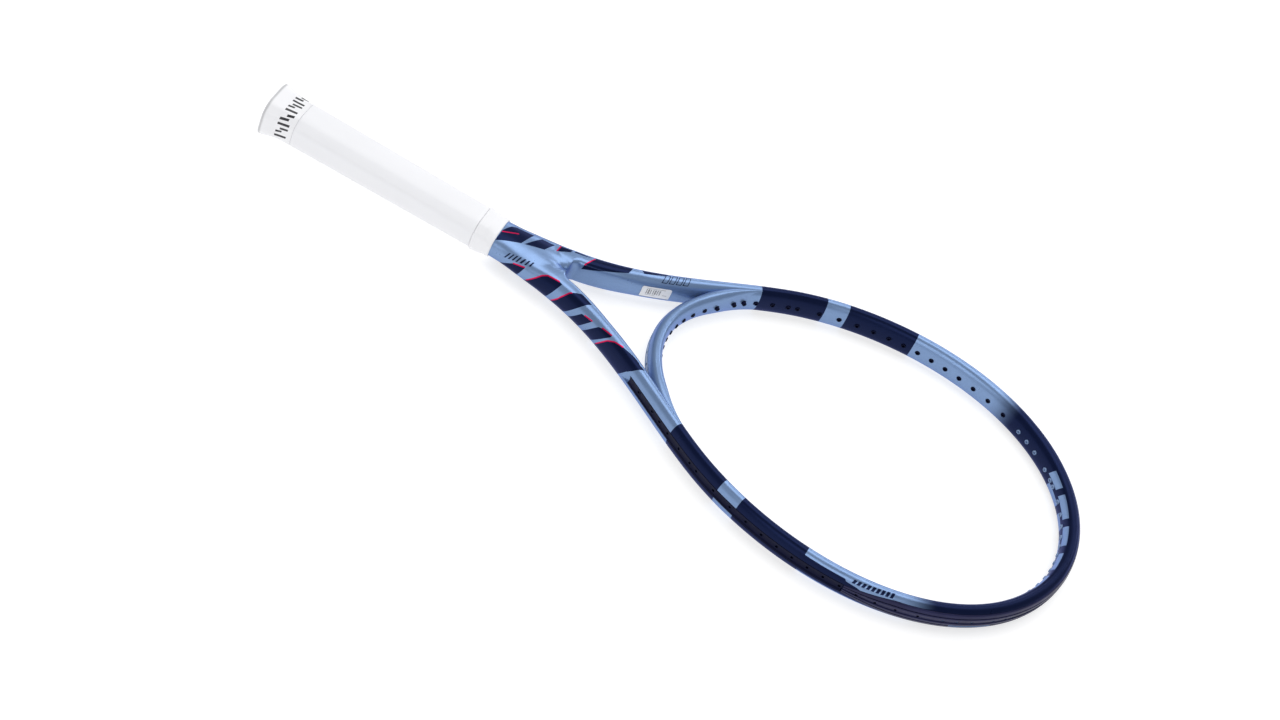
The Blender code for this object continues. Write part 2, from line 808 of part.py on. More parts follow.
def build_side_strips():
    holes = [h for h in HOLES if h.strip == "side"]
    stations = [station_at(CHANNEL_FULL_X + 1.5)]
    stations += stations_between(CHANNEL_FULL_X + 4, BUMPER_START_X - 3)
    stations.append(station_at(BUMPER_START_X - 0.4))
    for side, word in ((1, "left"), (-1, "right")):
        body = strip_body(stations, side_strip_profile)
        if side < 0:
            mirrored(body)
        name = f"side_grommet_strip_{word}"
        strip = mesh_object(name, mesh_from(name, body), STRIP_PLASTIC)
        add_barrels(strip, name, holes, (side,))


def build_bumper():
    half = [station_at(BUMPER_START_X + 0.4)] + stations_between(BUMPER_START_X + 4, LENGTH)
    rings = [place_profile(bumper_profile(s), s.centre, s.normal) for s in half]
    tip = rings[-1]
    far = [[(x, -y, z) for x, y, z in ring] for ring in reversed(rings[:-1])]
    rings[-1] = [(x, 0.0, z) for x, _, z in tip]
    body = loft(rings + far)
    guard = mesh_object("head_bumper_guard", mesh_from("head_bumper_guard", body), NAVY_PLASTIC)
    holes = [h for h in HOLES if h.strip == "bumper"]
    add_barrels(guard, "head_bumper_guard", holes, (1, -1))


def build_throat_strip():
    holes = [h for h in HOLES if h.strip == "throat"]
    half = BRIDGE_CHANNEL_HALF_WIDTH - GAP - 0.1
    floor = BRIDGE_HALF_WIDTH - BRIDGE_CHANNEL_DEPTH
    rings = []
    steps = 14
    last = hoop_angle_at_y(46.0, False, BRIDGE_INSET)
    for i in range(steps + 1):
        degrees = mix(last, 360 - last, i / steps)
        profile = [(floor + GAP, half), (floor + 1.3, half), (floor + 1.3, -half),
                   (floor + GAP, -half)]
        rings.append(place_profile(profile, hoop_point(degrees, BRIDGE_INSET),
                                   hoop_normal(degrees, BRIDGE_INSET)))
    name = "throat_grommet_strip"
    strip = mesh_object(name, mesh_from(name, loft(rings)), STRIP_PLASTIC)
    add_barrels(strip, name, holes, (1, -1), lambda h: reach_to_floor(h) + 0.8)


# ---- build: handle ----


def build_grip():
    xs = (GRIP_START_X, 40.0, 90.0, 140.0, GRIP_STEP_X)
    outer = [grip_ring(x) for x in xs]
    outer.append(grip_ring(GRIP_STEP_X + 0.2, GRIP_END_THINNING))
    outer.append(grip_ring(GRIP_END_X, GRIP_END_THINNING))
    inner = [grip_ring(x, GRIP_THICKNESS) for x in xs]
    inner.append(grip_ring(GRIP_STEP_X + 0.2, GRIP_THICKNESS))
    inner.append(grip_ring(GRIP_END_X, GRIP_THICKNESS))
    mesh_object("base_grip", mesh_from("base_grip", sleeve(outer, inner)), GRIP_WHITE)


def build_tape():
    inside = GRIP_END_THINNING - GAP
    xs = (TAPE_START_X, TAPE_END_X)
    outer = [grip_ring(x, inside - TAPE_THICKNESS) for x in xs]
    inner = [grip_ring(x, inside) for x in xs]
    mesh_object("finishing_tape", mesh_from("finishing_tape", sleeve(outer, inner)), TAPE)


def collar_ring(x, octagon_less, share, shaft_more):
    """Between the handle's eight-sided section and the shaft's oval one."""
    coarse = grip_ring(x, octagon_less)
    flat = []
    for i, here in enumerate(coarse):
        after = coarse[(i + 1) % len(coarse)]
        flat += [here, tuple(mix(a, b, 0.5) for a, b in zip(here, after))]
    high, wide = at(SHAFT_HALF_HEIGHTS, x), at(SHAFT_HALF_WIDTHS, x)
    mixed = []
    for px, y, z in flat:
        angle = math.atan2(z / (high + shaft_more), y / (wide + shaft_more))
        cy, cz = math.cos(angle), math.sin(angle)
        scale = (abs(cy) ** SHAFT_POWER + abs(cz) ** SHAFT_POWER) ** (-1 / SHAFT_POWER)
        mixed.append((px, mix(y, (wide + shaft_more) * cy * scale, share),
                      mix(z, (high + shaft_more) * cz * scale, share)))
    return mixed


def build_collar():
    start, end = COLLAR_START_X, COLLAR_END_X
    outer = [
        collar_ring(start, -0.55, 0.0, 0.0), collar_ring(start + 0.6, -0.9, 0.0, 0.0),
        collar_ring(start + 7.0, -1.0, 0.1, 1.3), collar_ring(start + 11.0, -0.8, 0.55, 1.4),
        collar_ring(end - 0.6, 0.0, 1.0, 1.3), collar_ring(end, 0.0, 1.0, 1.0),
    ]
    inner = [
        collar_ring(start, 0.1, 0.0, 0.0), collar_ring(start + 7.0, 0.12, 0.0, 0.0),
        collar_ring(192.5, 0.0, 1.0, 0.8), collar_ring(196.0, 0.0, 1.0, 0.4),
        collar_ring(end, 0.0, 1.0, 0.4),
    ]
    mesh_object("grip_collar", mesh_from("grip_collar", sleeve(outer, inner)), RUBBER_WHITE)


def build_cap():
    outer = [octagon(x, y, z, 0.22) for x, y, z in CAP_PROFILE]
    body = bmesh.new()
    made = [add_ring(body, ring) for ring in outer]
    less = GRIP_THICKNESS
    pocket = [grip_ring(CAP_END_X, less), grip_ring(CAP_FLOOR, less)]
    made += [add_ring(body, ring) for ring in pocket]
    for first, second in zip(made, made[1:]):
        bridge_rings(body, first, second)
    body.faces.new(made[0])
    body.faces.new(made[-1])
    cap = mesh_object("butt_cap", mesh_from("butt_cap", body), CAP_WHITE)
    recess = loft([oval(x, PLATE_HALF_Y + GAP, PLATE_HALF_Z + GAP, 2.0, 24)
                   for x in (-2.0, PLATE_DEPTH + GAP)])
    boolean(cap, mesh_object("plate_recess", mesh_from("plate_recess", recess), None, CUTTERS))
    plate = loft([oval(x, PLATE_HALF_Y, PLATE_HALF_Z, 2.0, 24) for x in (0.0, PLATE_DEPTH)])
    mesh_object("butt_end_plate", mesh_from("butt_end_plate", plate), CAP_WHITE)
    return cap


def build_staples(cap, pallets):
    """Two staples fix the cap: one driven in from the left, one from underneath."""
    for word, surface, turned in (("left", 17.2, False), ("under", 15.4, True)):
        name = f"butt_cap_staple_{word}"
        mesh_object(name, mesh_from(name, staple_body(STAPLE_X, surface, turned)), STEEL)
        slot = mesh_from(f"{name}_slot", staple_body(STAPLE_X, surface, turned, GAP))
        cutter = mesh_object(f"{name}_slot", slot, None, CUTTERS)
        for target in (cap, *pallets):
            boolean(target, cutter)


def build_sticker():
    """A small rounded label bent round the inner wall of the left arm."""
    low, high = STICKER_ZS
    rings = []
    for x in STICKER_XS:
        station = station_at(x)
        corner = STICKER_CORNER if x in (STICKER_XS[0], STICKER_XS[-1]) else 0.0
        near, far = [], []
        for i in range(7):
            z = mix(low + corner, high - corner, i / 6)
            reach = oval_out(station.half_width, station.half_height, z)
            near.append((-(reach + GAP), z))
            far.append((-(reach + GAP + STICKER_THICKNESS), z))
        loop = near + list(reversed(far))
        rings.append(place_profile(loop, station.centre, station.normal))
    mesh_object("price_sticker", mesh_from("price_sticker", loft(rings)), PAPER)


def build_pallets():
    top = pallet_half("handle_pallet_top", 1, FOAM)
    bottom = pallet_half("handle_pallet_bottom", -1, FOAM)
    return top, bottom


def build_leg_fillings():
    for side, word in ((1, "left"), (-1, "right")):
        rings = []
        for x in (SHAFT_END_X + 2.0, SHAFT_END_X + 62.0):
            ring = leg_cavity(x)
            middle = sum(y for _, y, _ in ring) / CAVITY_SIDES
            shrunk = [(px, mix(middle, y, 0.9) * side, z * 0.93) for px, y, z in ring]
            rings.append(shrunk)
        name = f"leg_foam_plug_{word}"
        mesh_object(name, mesh_from(name, loft(rings)), FOAM)
    slug = loft([oval(x, 2.6, 5.0, 3.0, 12) for x in (SHAFT_END_X + 66.0, SHAFT_END_X + 96.0)])
    bmesh.ops.translate(slug, vec=(0, 5.0 * MM, 0), verts=slug.verts)
    mesh_object("balance_weight", mesh_from("balance_weight", slug), LEAD)


build_bridge(build_frame())
build_side_strips()
build_bumper()
build_throat_strip()
build_grip()
build_tape()
build_collar()
build_staples(build_cap(), build_pallets())
build_leg_fillings()
build_sticker()
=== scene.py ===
"""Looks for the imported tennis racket: dense smooth pieces in place of its faceted CAD nodes.

Millimetres in the design tables, metres in the meshes. +X runs from the butt to the tip, +Y is to
the left, and the string plane is z = 0. "run" is the distance from the butt along the middle of the
tube, and "girth" the distance round the tube's section from its outermost line, positive over the top.
"""

import math
from functools import reduce

import bmesh
import bpy
import numpy as np
from mathutils import Matrix, Vector
from mathutils.bvhtree import BVHTree
from mathutils.interpolate import poly_3d_calc


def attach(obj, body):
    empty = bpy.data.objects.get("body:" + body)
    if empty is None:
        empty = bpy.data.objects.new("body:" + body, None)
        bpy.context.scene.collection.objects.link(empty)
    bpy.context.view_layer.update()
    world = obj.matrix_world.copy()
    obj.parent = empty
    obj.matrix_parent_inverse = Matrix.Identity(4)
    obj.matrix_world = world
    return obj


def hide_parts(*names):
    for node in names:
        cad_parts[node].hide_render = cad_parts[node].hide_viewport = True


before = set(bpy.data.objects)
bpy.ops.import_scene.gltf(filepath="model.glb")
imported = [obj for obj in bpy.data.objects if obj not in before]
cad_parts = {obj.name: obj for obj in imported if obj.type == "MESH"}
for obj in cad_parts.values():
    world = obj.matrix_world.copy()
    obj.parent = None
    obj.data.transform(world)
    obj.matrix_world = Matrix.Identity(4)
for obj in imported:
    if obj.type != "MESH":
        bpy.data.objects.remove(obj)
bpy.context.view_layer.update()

MM = 0.001

# Hoop and arms, as the centreline of the tube.
HOOP_CENTRE_X, HOOP_HALF_LENGTH, HOOP_HALF_WIDTH, HOOP_EGG = 506.8, 172.7, 125.0, 0.098
ARM_LEAVES_DEG, ARM_BEND_NEAR_HOOP, ARM_BEND_NEAR_SHAFT = 124.6, 63.0, 79.0
ARM_END = (218.0, 11.6)
CROTCH_X, CROTCH_RADIUS = 254.0, 6.8
SHAFT_FLUSH_X, SHAFT_SHOWN_X = 224.0, 186.0
TURN_FROM_X, TURN_LENGTH = 290.0, 38.0  # where the sections turn square to the shaft

# Tube section.
SECTION_POWER, SHAFT_POWER = 2.22, 2.6
CROTCH_POWER, SQUARER_FROM_X = 4.2, 305.0  # of the inner side at the crotch
TUBE_HALF_WIDTHS = ((0.0, 6.36), (0.3, 6.19), (0.62, 5.46), (0.8, 6.74), (1.0, 7.3))
TUBE_HALF_HEIGHTS = ((190, 11.2), (300, 11.8), (400, 12.1), (520, 11.55), (690, 11.0))
SHAFT_HALF_WIDTHS = (
    (186, 12.2), (189, 13.6), (196, 15.7), (206, 16.2), (212, 17.0), (218, 18.1), (224, 19.2),
    (230, 20.1), (236, 20.9), (244, 21.8), (254, 22.8),
)
SHAFT_HALF_HEIGHTS = ((186, 9.5), (189, 10.3), (196, 11.2), (224, 11.4), (254, 11.5))
CHANNEL_START_X, CHANNEL_FULL_X, CHANNEL_HALF, CHANNEL_DEPTH = 334.0, 338.0, 4.3, 1.7
GUARD_START_X, GUARD_FULL_X, GUARD_HALF, GUARD_DEPTH = 541.0, 577.0, 8.3, 1.5
GAP = 0.3

# Throat bridge and string holes.
BRIDGE_INSET, BRIDGE_HALF_WIDTH, BRIDGE_HALF_HEIGHT = 3.8, 5.5, 10.4
BRIDGE_CHANNEL_HALF, BRIDGE_CHANNEL_DEPTH = 3.4, 1.0
BLEND_REACH = 5.2  # the bridge's inner side from the oval, where it runs into the hoop
MAIN_FIRST_Y, MAIN_PITCH, MAIN_SPREAD, MAINS_PER_SIDE, MAINS_THROUGH_BRIDGE = 4.6, 9.1, 0.27, 8, 5
CROSS_MIDDLE_X, CROSS_PITCH, CROSS_SPREAD, CROSSES_PER_END = 513.4, 12.5, 0.035, 9
TIE_OFF_XS = (407.0, 622.1)
HOLE_RADIUS, BARREL_RADIUS, BARREL_BORE, BARREL_STANDS_OUT = 2.15, 1.75, 1.1, 0.8
PALE_BARREL_X = 612.0  # the barrels beyond it are pale

# Handle.
GRIP_START_X, GRIP_STEP_X, GRIP_END_X = 26.3, 180.5, 188.0
GRIP_HALF_Y = ((26, 16.8), (40, 16.7), (190, 15.6))
GRIP_HALF_Z = ((26, 15.0), (40, 14.9), (190, 13.8))
HANDLE_CHAMFER = 0.42
COLLAR_START_X, COLLAR_END_X = 180.9, 197.2
CAP_PROFILE = (
    (0.0, 18.9, 17.1), (0.4, 19.5, 17.7), (1.4, 19.8, 18.0), (3.5, 19.5, 17.7), (7.0, 18.7, 16.9),
    (11.0, 17.9, 16.1), (16.0, 17.3, 15.5), (21.0, 16.95, 15.15), (26.2, 16.8, 15.0),
)
PLATE_HALF_Y, PLATE_HALF_Z, PLATE_DEPTH = 12.6, 11.2, 2.4


# ---- numbers and curves ----


def at(table, x):
    return float(np.interp(x, [row[0] for row in table], [row[1] for row in table]))


def glide(table, x, column=1):
    """A smooth curve through the table's entries, instead of straight lines."""
    xs, ys = [row[0] for row in table], [row[column] for row in table]
    i = max((k for k in range(len(xs) - 1) if xs[k] <= x), default=0)

    def slope(k):
        if k in (0, len(xs) - 1):
            return 0.0
        left = (ys[k] - ys[k - 1]) / (xs[k] - xs[k - 1])
        right = (ys[k + 1] - ys[k]) / (xs[k + 1] - xs[k])
        return 0.0 if left * right <= 0 else 2 * left * right / (left + right)

    step = xs[i + 1] - xs[i]
    t = clamp01((x - xs[i]) / step)
    return ((2 * t**3 - 3 * t * t + 1) * ys[i] + (t**3 - 2 * t * t + t) * step * slope(i)
            + (3 * t * t - 2 * t**3) * ys[i + 1] + (t**3 - t * t) * step * slope(i + 1))


def mix(a, b, t):
    return a + (b - a) * t


def clamp01(value):
    return min(1.0, max(0.0, value))


def eased(share):
    share = clamp01(share)
    return share * share * (3 - 2 * share)


def raised(value, exponent):
    return math.copysign(abs(value) ** exponent, value)


def solve(function, low, high, value):
    """The place between low and high where a falling function reaches value."""
    for _ in range(40):
        middle = (low + high) / 2
        low, high = (middle, high) if function(middle) > value else (low, middle)
    return (low + high) / 2


def hoop_point(degrees, inset=0.0):
    angle = math.radians(degrees)
    return np.array((
        HOOP_CENTRE_X + (HOOP_HALF_LENGTH - inset) * math.cos(angle),
        HOOP_HALF_WIDTH * math.sin(angle) * (1 + HOOP_EGG * math.cos(angle)),
    ))


def outward(along):
    return np.array((along[1], -along[0])) / math.hypot(*along)


def hoop_normal(degrees, inset=0.0):
    return outward(hoop_point(degrees + 0.01, inset) - hoop_point(degrees - 0.01, inset))


def arm_point(t):
    start = hoop_point(ARM_LEAVES_DEG)
    tangent = hoop_point(ARM_LEAVES_DEG + 0.01) - start
    first = start + tangent / math.hypot(*tangent) * ARM_BEND_NEAR_HOOP
    end = np.array(ARM_END)
    second = end + np.array((ARM_BEND_NEAR_SHAFT, 0.0))
    s = 1 - t
    return start * s**3 + first * (3 * s * s * t) + second * (3 * s * t * t) + end * t**3


def arm_normal(t):
    return outward(arm_point(min(t + 0.001, 1.0)) - arm_point(max(t - 0.001, 0.0)))


def length_of(points):
    return float(np.linalg.norm(np.diff(np.array(points), axis=0), axis=1).sum())


HOOP_ARC = length_of([hoop_point(ARM_LEAVES_DEG * i / 60) for i in range(61)])
ARM_ARC = length_of([arm_point(i / 60) for i in range(61)])
RUN_TIP = ARM_END[0] + ARM_ARC + HOOP_ARC


def arm_t_at(x):
    return solve(lambda t: arm_point(t)[0], 0.0, 1.0, x)


def hoop_angle_at_x(x):
    return solve(lambda d: hoop_point(d)[0], 0.0, 180.0, x)


def hoop_angle_at_y(y, near_tip, inset=0.0):
    if near_tip:
        return solve(lambda d: -hoop_point(d, inset)[1], 0.0, 75.0, -y)
    return solve(lambda d: hoop_point(d, inset)[1], 100.0, 180.0, y)


# ---- the tube's section ----


def channel_at(x):
    opening = clamp01((x - CHANNEL_START_X) / (CHANNEL_FULL_X - CHANNEL_START_X))
    wider = clamp01((x - GUARD_START_X) / (GUARD_FULL_X - GUARD_START_X))
    return mix(CHANNEL_HALF, GUARD_HALF, wider), mix(CHANNEL_DEPTH * opening, GUARD_DEPTH, wider)


class Station:
    """One place along the half tube: centre, outward direction, size and distance along."""

    def __init__(self, centre, normal, arc):
        self.centre, self.normal = centre, normal
        self.half_width = glide(TUBE_HALF_WIDTHS, arc / (HOOP_ARC + ARM_ARC))
        self.half_height = glide(TUBE_HALF_HEIGHTS, centre[0])
        self.channel, self.depth = channel_at(centre[0])
        self.run = RUN_TIP - arc

    def square_to(self, normal):
        self.half_width /= float(normal @ self.normal)
        self.normal = normal
        return self


def hoop_station(degrees):
    return Station(hoop_point(degrees), hoop_normal(degrees), HOOP_ARC * degrees / ARM_LEAVES_DEG)


def arm_station(t):
    centre = arm_point(t)
    normal = mix(arm_normal(t), np.array((0.0, 1.0)), clamp01((TURN_FROM_X - centre[0]) / TURN_LENGTH))
    normal = normal / math.hypot(*normal)
    return Station(centre, arm_normal(t), HOOP_ARC + ARM_ARC * t).square_to(normal)


def station_at(x):
    if x < hoop_point(ARM_LEAVES_DEG)[0]:
        return arm_station(arm_t_at(x))
    return hoop_station(hoop_angle_at_x(x))


def oval_out(half_width, half_height, z, exponent=SECTION_POWER):
    share = min(1.0, abs(z) / half_height)
    return half_width * (1 - share**exponent) ** (1 / exponent)


UPPER_POINTS = 22
FLOOR_SHARES = (0.97, 0.6, 0.2)


def on_section(degrees, wide, high, power):
    across, up = math.cos(math.radians(degrees)), math.sin(math.radians(degrees))
    return wide * raised(across, 2 / power), high * raised(up, 2 / power)


def tube_profile(wide_out, wide_in, high, channel, depth, full_depth=CHANNEL_DEPTH,
                 power_in=SECTION_POWER):
    """Points (out, up) from the inner side over the top to the outer side, then underneath."""
    lip = math.degrees(math.asin(min(1.0, (channel / high) ** (SECTION_POWER / 2))))
    upper = []
    for i in range(UPPER_POINTS):
        degrees = mix(177.5, lip, i / (UPPER_POINTS - 1))
        wide, power = (wide_out, SECTION_POWER) if degrees < 90 else (wide_in, power_in)
        upper.append(on_section(degrees, wide, high, power))
    for share in FLOOR_SHARES:
        z = channel * mix(share * 0.9, share, min(1.0, depth / full_depth))
        upper.append((oval_out(wide_out - depth, high, z), z))
    return upper + [(out, -up) for out, up in reversed(upper)]


def place(profile, centre, normal):
    return np.array([(centre[0] + normal[0] * out, centre[1] + normal[1] * out, up)
                     for out, up in profile])


def tube_ring(station, wide_in=None):
    wide = station.half_width
    near_crotch = (SQUARER_FROM_X - station.centre[0]) / (SQUARER_FROM_X - CROTCH_X)
    profile = tube_profile(wide, wide if wide_in is None else wide_in, station.half_height,
                           station.channel, station.depth,
                           power_in=mix(SECTION_POWER, CROTCH_POWER, eased(near_crotch)))
    return place(profile, station.centre, station.normal)


def lobe_station(x):
    t = arm_t_at(x)
    station = Station(arm_point(t), arm_normal(t), HOOP_ARC + ARM_ARC * t)
    return station.square_to(np.array((0.0, 1.0)))


def lobe_ring(x, reach_in):
    station = lobe_station(x)
    return tube_ring(station, station.centre[1] - reach_in)


def shaft_ring(x):
    """Half of the skin that the two legs share, from the top middle to the bottom middle."""
    wide, high = glide(SHAFT_HALF_WIDTHS, x), glide(SHAFT_HALF_HEIGHTS, x)
    last = UPPER_POINTS + len(FLOOR_SHARES) - 1
    upper = [(x, *on_section(mix(90.0, 2.0, i / last), wide, high, SHAFT_POWER))
             for i in range(last + 1)]
    upper[0] = (x, 0.0, high)
    return np.array(upper + [(px, py, -pz) for px, py, pz in reversed(upper)])


HOOP_RINGS, ARM_RINGS, ROUND_RINGS, CROTCH_RINGS = 150, 90, 10, 24


def half_shell():
    """(rings, their runs, number of closed ones) of the left half, from the tip to the handle."""
    stations = [hoop_station(ARM_LEAVES_DEG * i / HOOP_RINGS) for i in range(HOOP_RINGS)]
    last = arm_t_at(CROTCH_X + CROTCH_RADIUS)
    stations += [arm_station(last * i / ARM_RINGS) for i in range(ARM_RINGS + 1)]
    for x in (CHANNEL_START_X, CHANNEL_FULL_X, GUARD_START_X, GUARD_FULL_X):
        near = min(range(len(stations)), key=lambda i: abs(stations[i].centre[0] - x))
        stations[near] = station_at(x)
    rings = [(tube_ring(station), station.run) for station in stations]
    rings[0][0][:, 1] = 0.0
    side = stations[-1].centre[1] - stations[-1].half_width
    for degrees in np.linspace(9.0, 90.0, ROUND_RINGS):
        angle = math.radians(degrees)
        x = CROTCH_X + CROTCH_RADIUS * (1 - math.sin(angle))
        rings.append((lobe_ring(x, side * math.cos(angle)), lobe_station(x).run))
    closed = len(rings)
    for i in range(1, CROTCH_RINGS + 1):
        share = i / CROTCH_RINGS
        share = share * share * 0.5 + share * 0.5
        x = mix(CROTCH_X, SHAFT_FLUSH_X, share)
        rise = math.sqrt(1 - (1 - share) ** 2)
        lobe = lobe_ring(x, 0.0)
        # The outer side keeps the arm's section for longer than the top and the underside do.
        outer = 1 - np.abs(np.linspace(-1.0, 1.0, len(lobe)))
        late = np.array([[mix(rise, eased(share), eased((o - 0.1) / 0.4))] for o in outer])
        rings.append((mix(lobe, shaft_ring(x), late), lobe_station(x).run))
    for x in np.arange(SHAFT_FLUSH_X - 2, SHAFT_SHOWN_X - 0.1, -2.0):
        rings.append((shaft_ring(x), x))
    for ring, _ in rings[closed - 1:]:
        ring[0][1] = ring[-1][1] = 0.0
    return *zip(*rings), closed


def girths(ring):
    """Distance round the section from its outermost place, positive over the top, closing the loop."""
    steps = np.linalg.norm(np.diff(np.vstack([ring, ring[:1]]), axis=0), axis=1)
    walked = np.concatenate([[0.0], np.cumsum(steps)])
    return walked[-2] / 2 - walked


# ---- meshes ----


def band(j, size, columns):
    """The faces between rings j and j + 1 of a skin whose rings have size points."""
    return [(j * size + i, j * size + (i + 1) % size, (j + 1) * size + (i + 1) % size,
             (j + 1) * size + i) for i in range(columns)]


def circle(point, out, along, radius, turn=0.0, sides=20):
    """A ring round the line that leaves the point in the direction out."""
    point, out = np.array((*point, 0.0)), np.array((*out, 0.0))
    across, up = np.array((-out[1], out[0], 0.0)), np.array((0.0, 0.0, 1.0))
    return [point + out * along + across * radius * math.cos(a) + up * radius * math.sin(a)
            for a in 2 * math.pi * (np.arange(sides) + turn) / sides]


def linked(name, data):
    made = bpy.data.objects.new(name, data)
    bpy.context.scene.collection.objects.link(made)
    return made


class Body:
    """Points in millimetres and faces, with a run and a girth for each corner where they're known."""

    def __init__(self):
        self.points, self.faces, self.corners = [], [], []

    def add(self, points, faces, corners=None):
        base = len(self.points)
        self.points += [tuple(p) for p in points]
        self.faces += [tuple(i + base for i in face) for face in faces]
        self.corners += corners or [[(0.0, 0.0)] * len(face) for face in faces]

    def loft(self, rings, capped=True):
        """A skin through rings of equal length. Each ring is a closed loop."""
        size = len(rings[0])
        faces = [face for j in range(len(rings) - 1) for face in band(j, size, size)]
        if capped:
            faces.append(tuple(range(size))[::-1])
            faces.append(tuple(range((len(rings) - 1) * size, len(rings) * size)))
        self.add(np.vstack(rings), faces)
        return self

    def torus(self, rings):
        """A closed skin through rings that come back to the first one."""
        return self.loft(list(rings) + [rings[0]], capped=False)

    def made(self, name, look, sharp=40.0):
        mesh = bpy.data.meshes.new(name)
        mesh.from_pydata((np.array(self.points) * MM).tolist(), [], self.faces)
        for column, word in ((0, "run"), (1, "girth")):
            values = [corner[column] for face in self.corners for corner in face]
            mesh.attributes.new(word, "FLOAT", "CORNER").data.foreach_set("value", values)
        mesh.materials.append(look)
        tidy = bmesh.new()
        tidy.from_mesh(mesh)
        bmesh.ops.remove_doubles(tidy, verts=tidy.verts, dist=1e-6)
        bmesh.ops.recalc_face_normals(tidy, faces=tidy.faces)
        tidy.to_mesh(mesh)
        tidy.free()
        mesh.shade_smooth()
        mesh.set_sharp_from_angle(angle=math.radians(sharp))
        return linked(name, mesh)


SKIN_DISTANCE, SKIN_FACING = 2e-4, 0.9  # a face this near the old skin, and so turned, is part of it


def drill(piece, cutter, keep=True):
    """Cuts the cutter's holes. The skin round them keeps its smooth shading, run and girth."""
    whole = piece.data
    step = piece.modifiers.new("drill", "BOOLEAN")
    step.operation, step.solver, step.object = "DIFFERENCE", "EXACT", cutter
    graph = bpy.context.evaluated_depsgraph_get()
    cut = bpy.data.meshes.new_from_object(piece.evaluated_get(graph))
    piece.modifiers.clear()
    piece.data = cut
    cut.name = piece.name
    bpy.data.objects.remove(cutter, do_unlink=True)
    if not keep:
        return
    tree = BVHTree.FromPolygons([v.co for v in whole.vertices],
                                [tuple(p.vertices) for p in whole.polygons])
    normals = np.array([loop.vector[:] for loop in whole.corner_normals])
    fields = {w: np.array([d.value for d in whole.attributes[w].data]) for w in ("run", "girth")}
    found = {w: np.zeros(len(cut.loops)) for w in fields}
    shading = [None] * len(cut.loops)
    for face in cut.polygons:
        near, facing, _, _ = tree.find_nearest(face.center)
        skin = (face.center - near).length < SKIN_DISTANCE
        skin = skin and abs(facing.dot(face.normal)) > SKIN_FACING
        for loop in face.loop_indices:
            shading[loop] = face.normal[:]
            if not skin:
                continue
            corner = cut.vertices[cut.loops[loop].vertex_index].co
            source = whole.polygons[tree.find_nearest(corner + (face.center - corner) * 0.02)[2]]
            weights = poly_3d_calc([whole.vertices[v].co for v in source.vertices], corner)
            loops = list(source.loop_indices)
            for w in fields:
                found[w][loop] = float(np.dot(weights, fields[w][loops]))
            shade = np.dot(weights, normals[loops])
            size = np.linalg.norm(shade)
            if size > 0.1:
                shading[loop] = tuple(shade / size)
    for w in fields:
        layer = cut.attributes.get(w) or cut.attributes.new(w, "FLOAT", "CORNER")
        layer.data.foreach_set("value", found[w])
    cut.shade_smooth()
    cut.normals_split_custom_set(shading)


def show(piece, node):
    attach(piece, "root")
    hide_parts(node)


# ---- materials ----


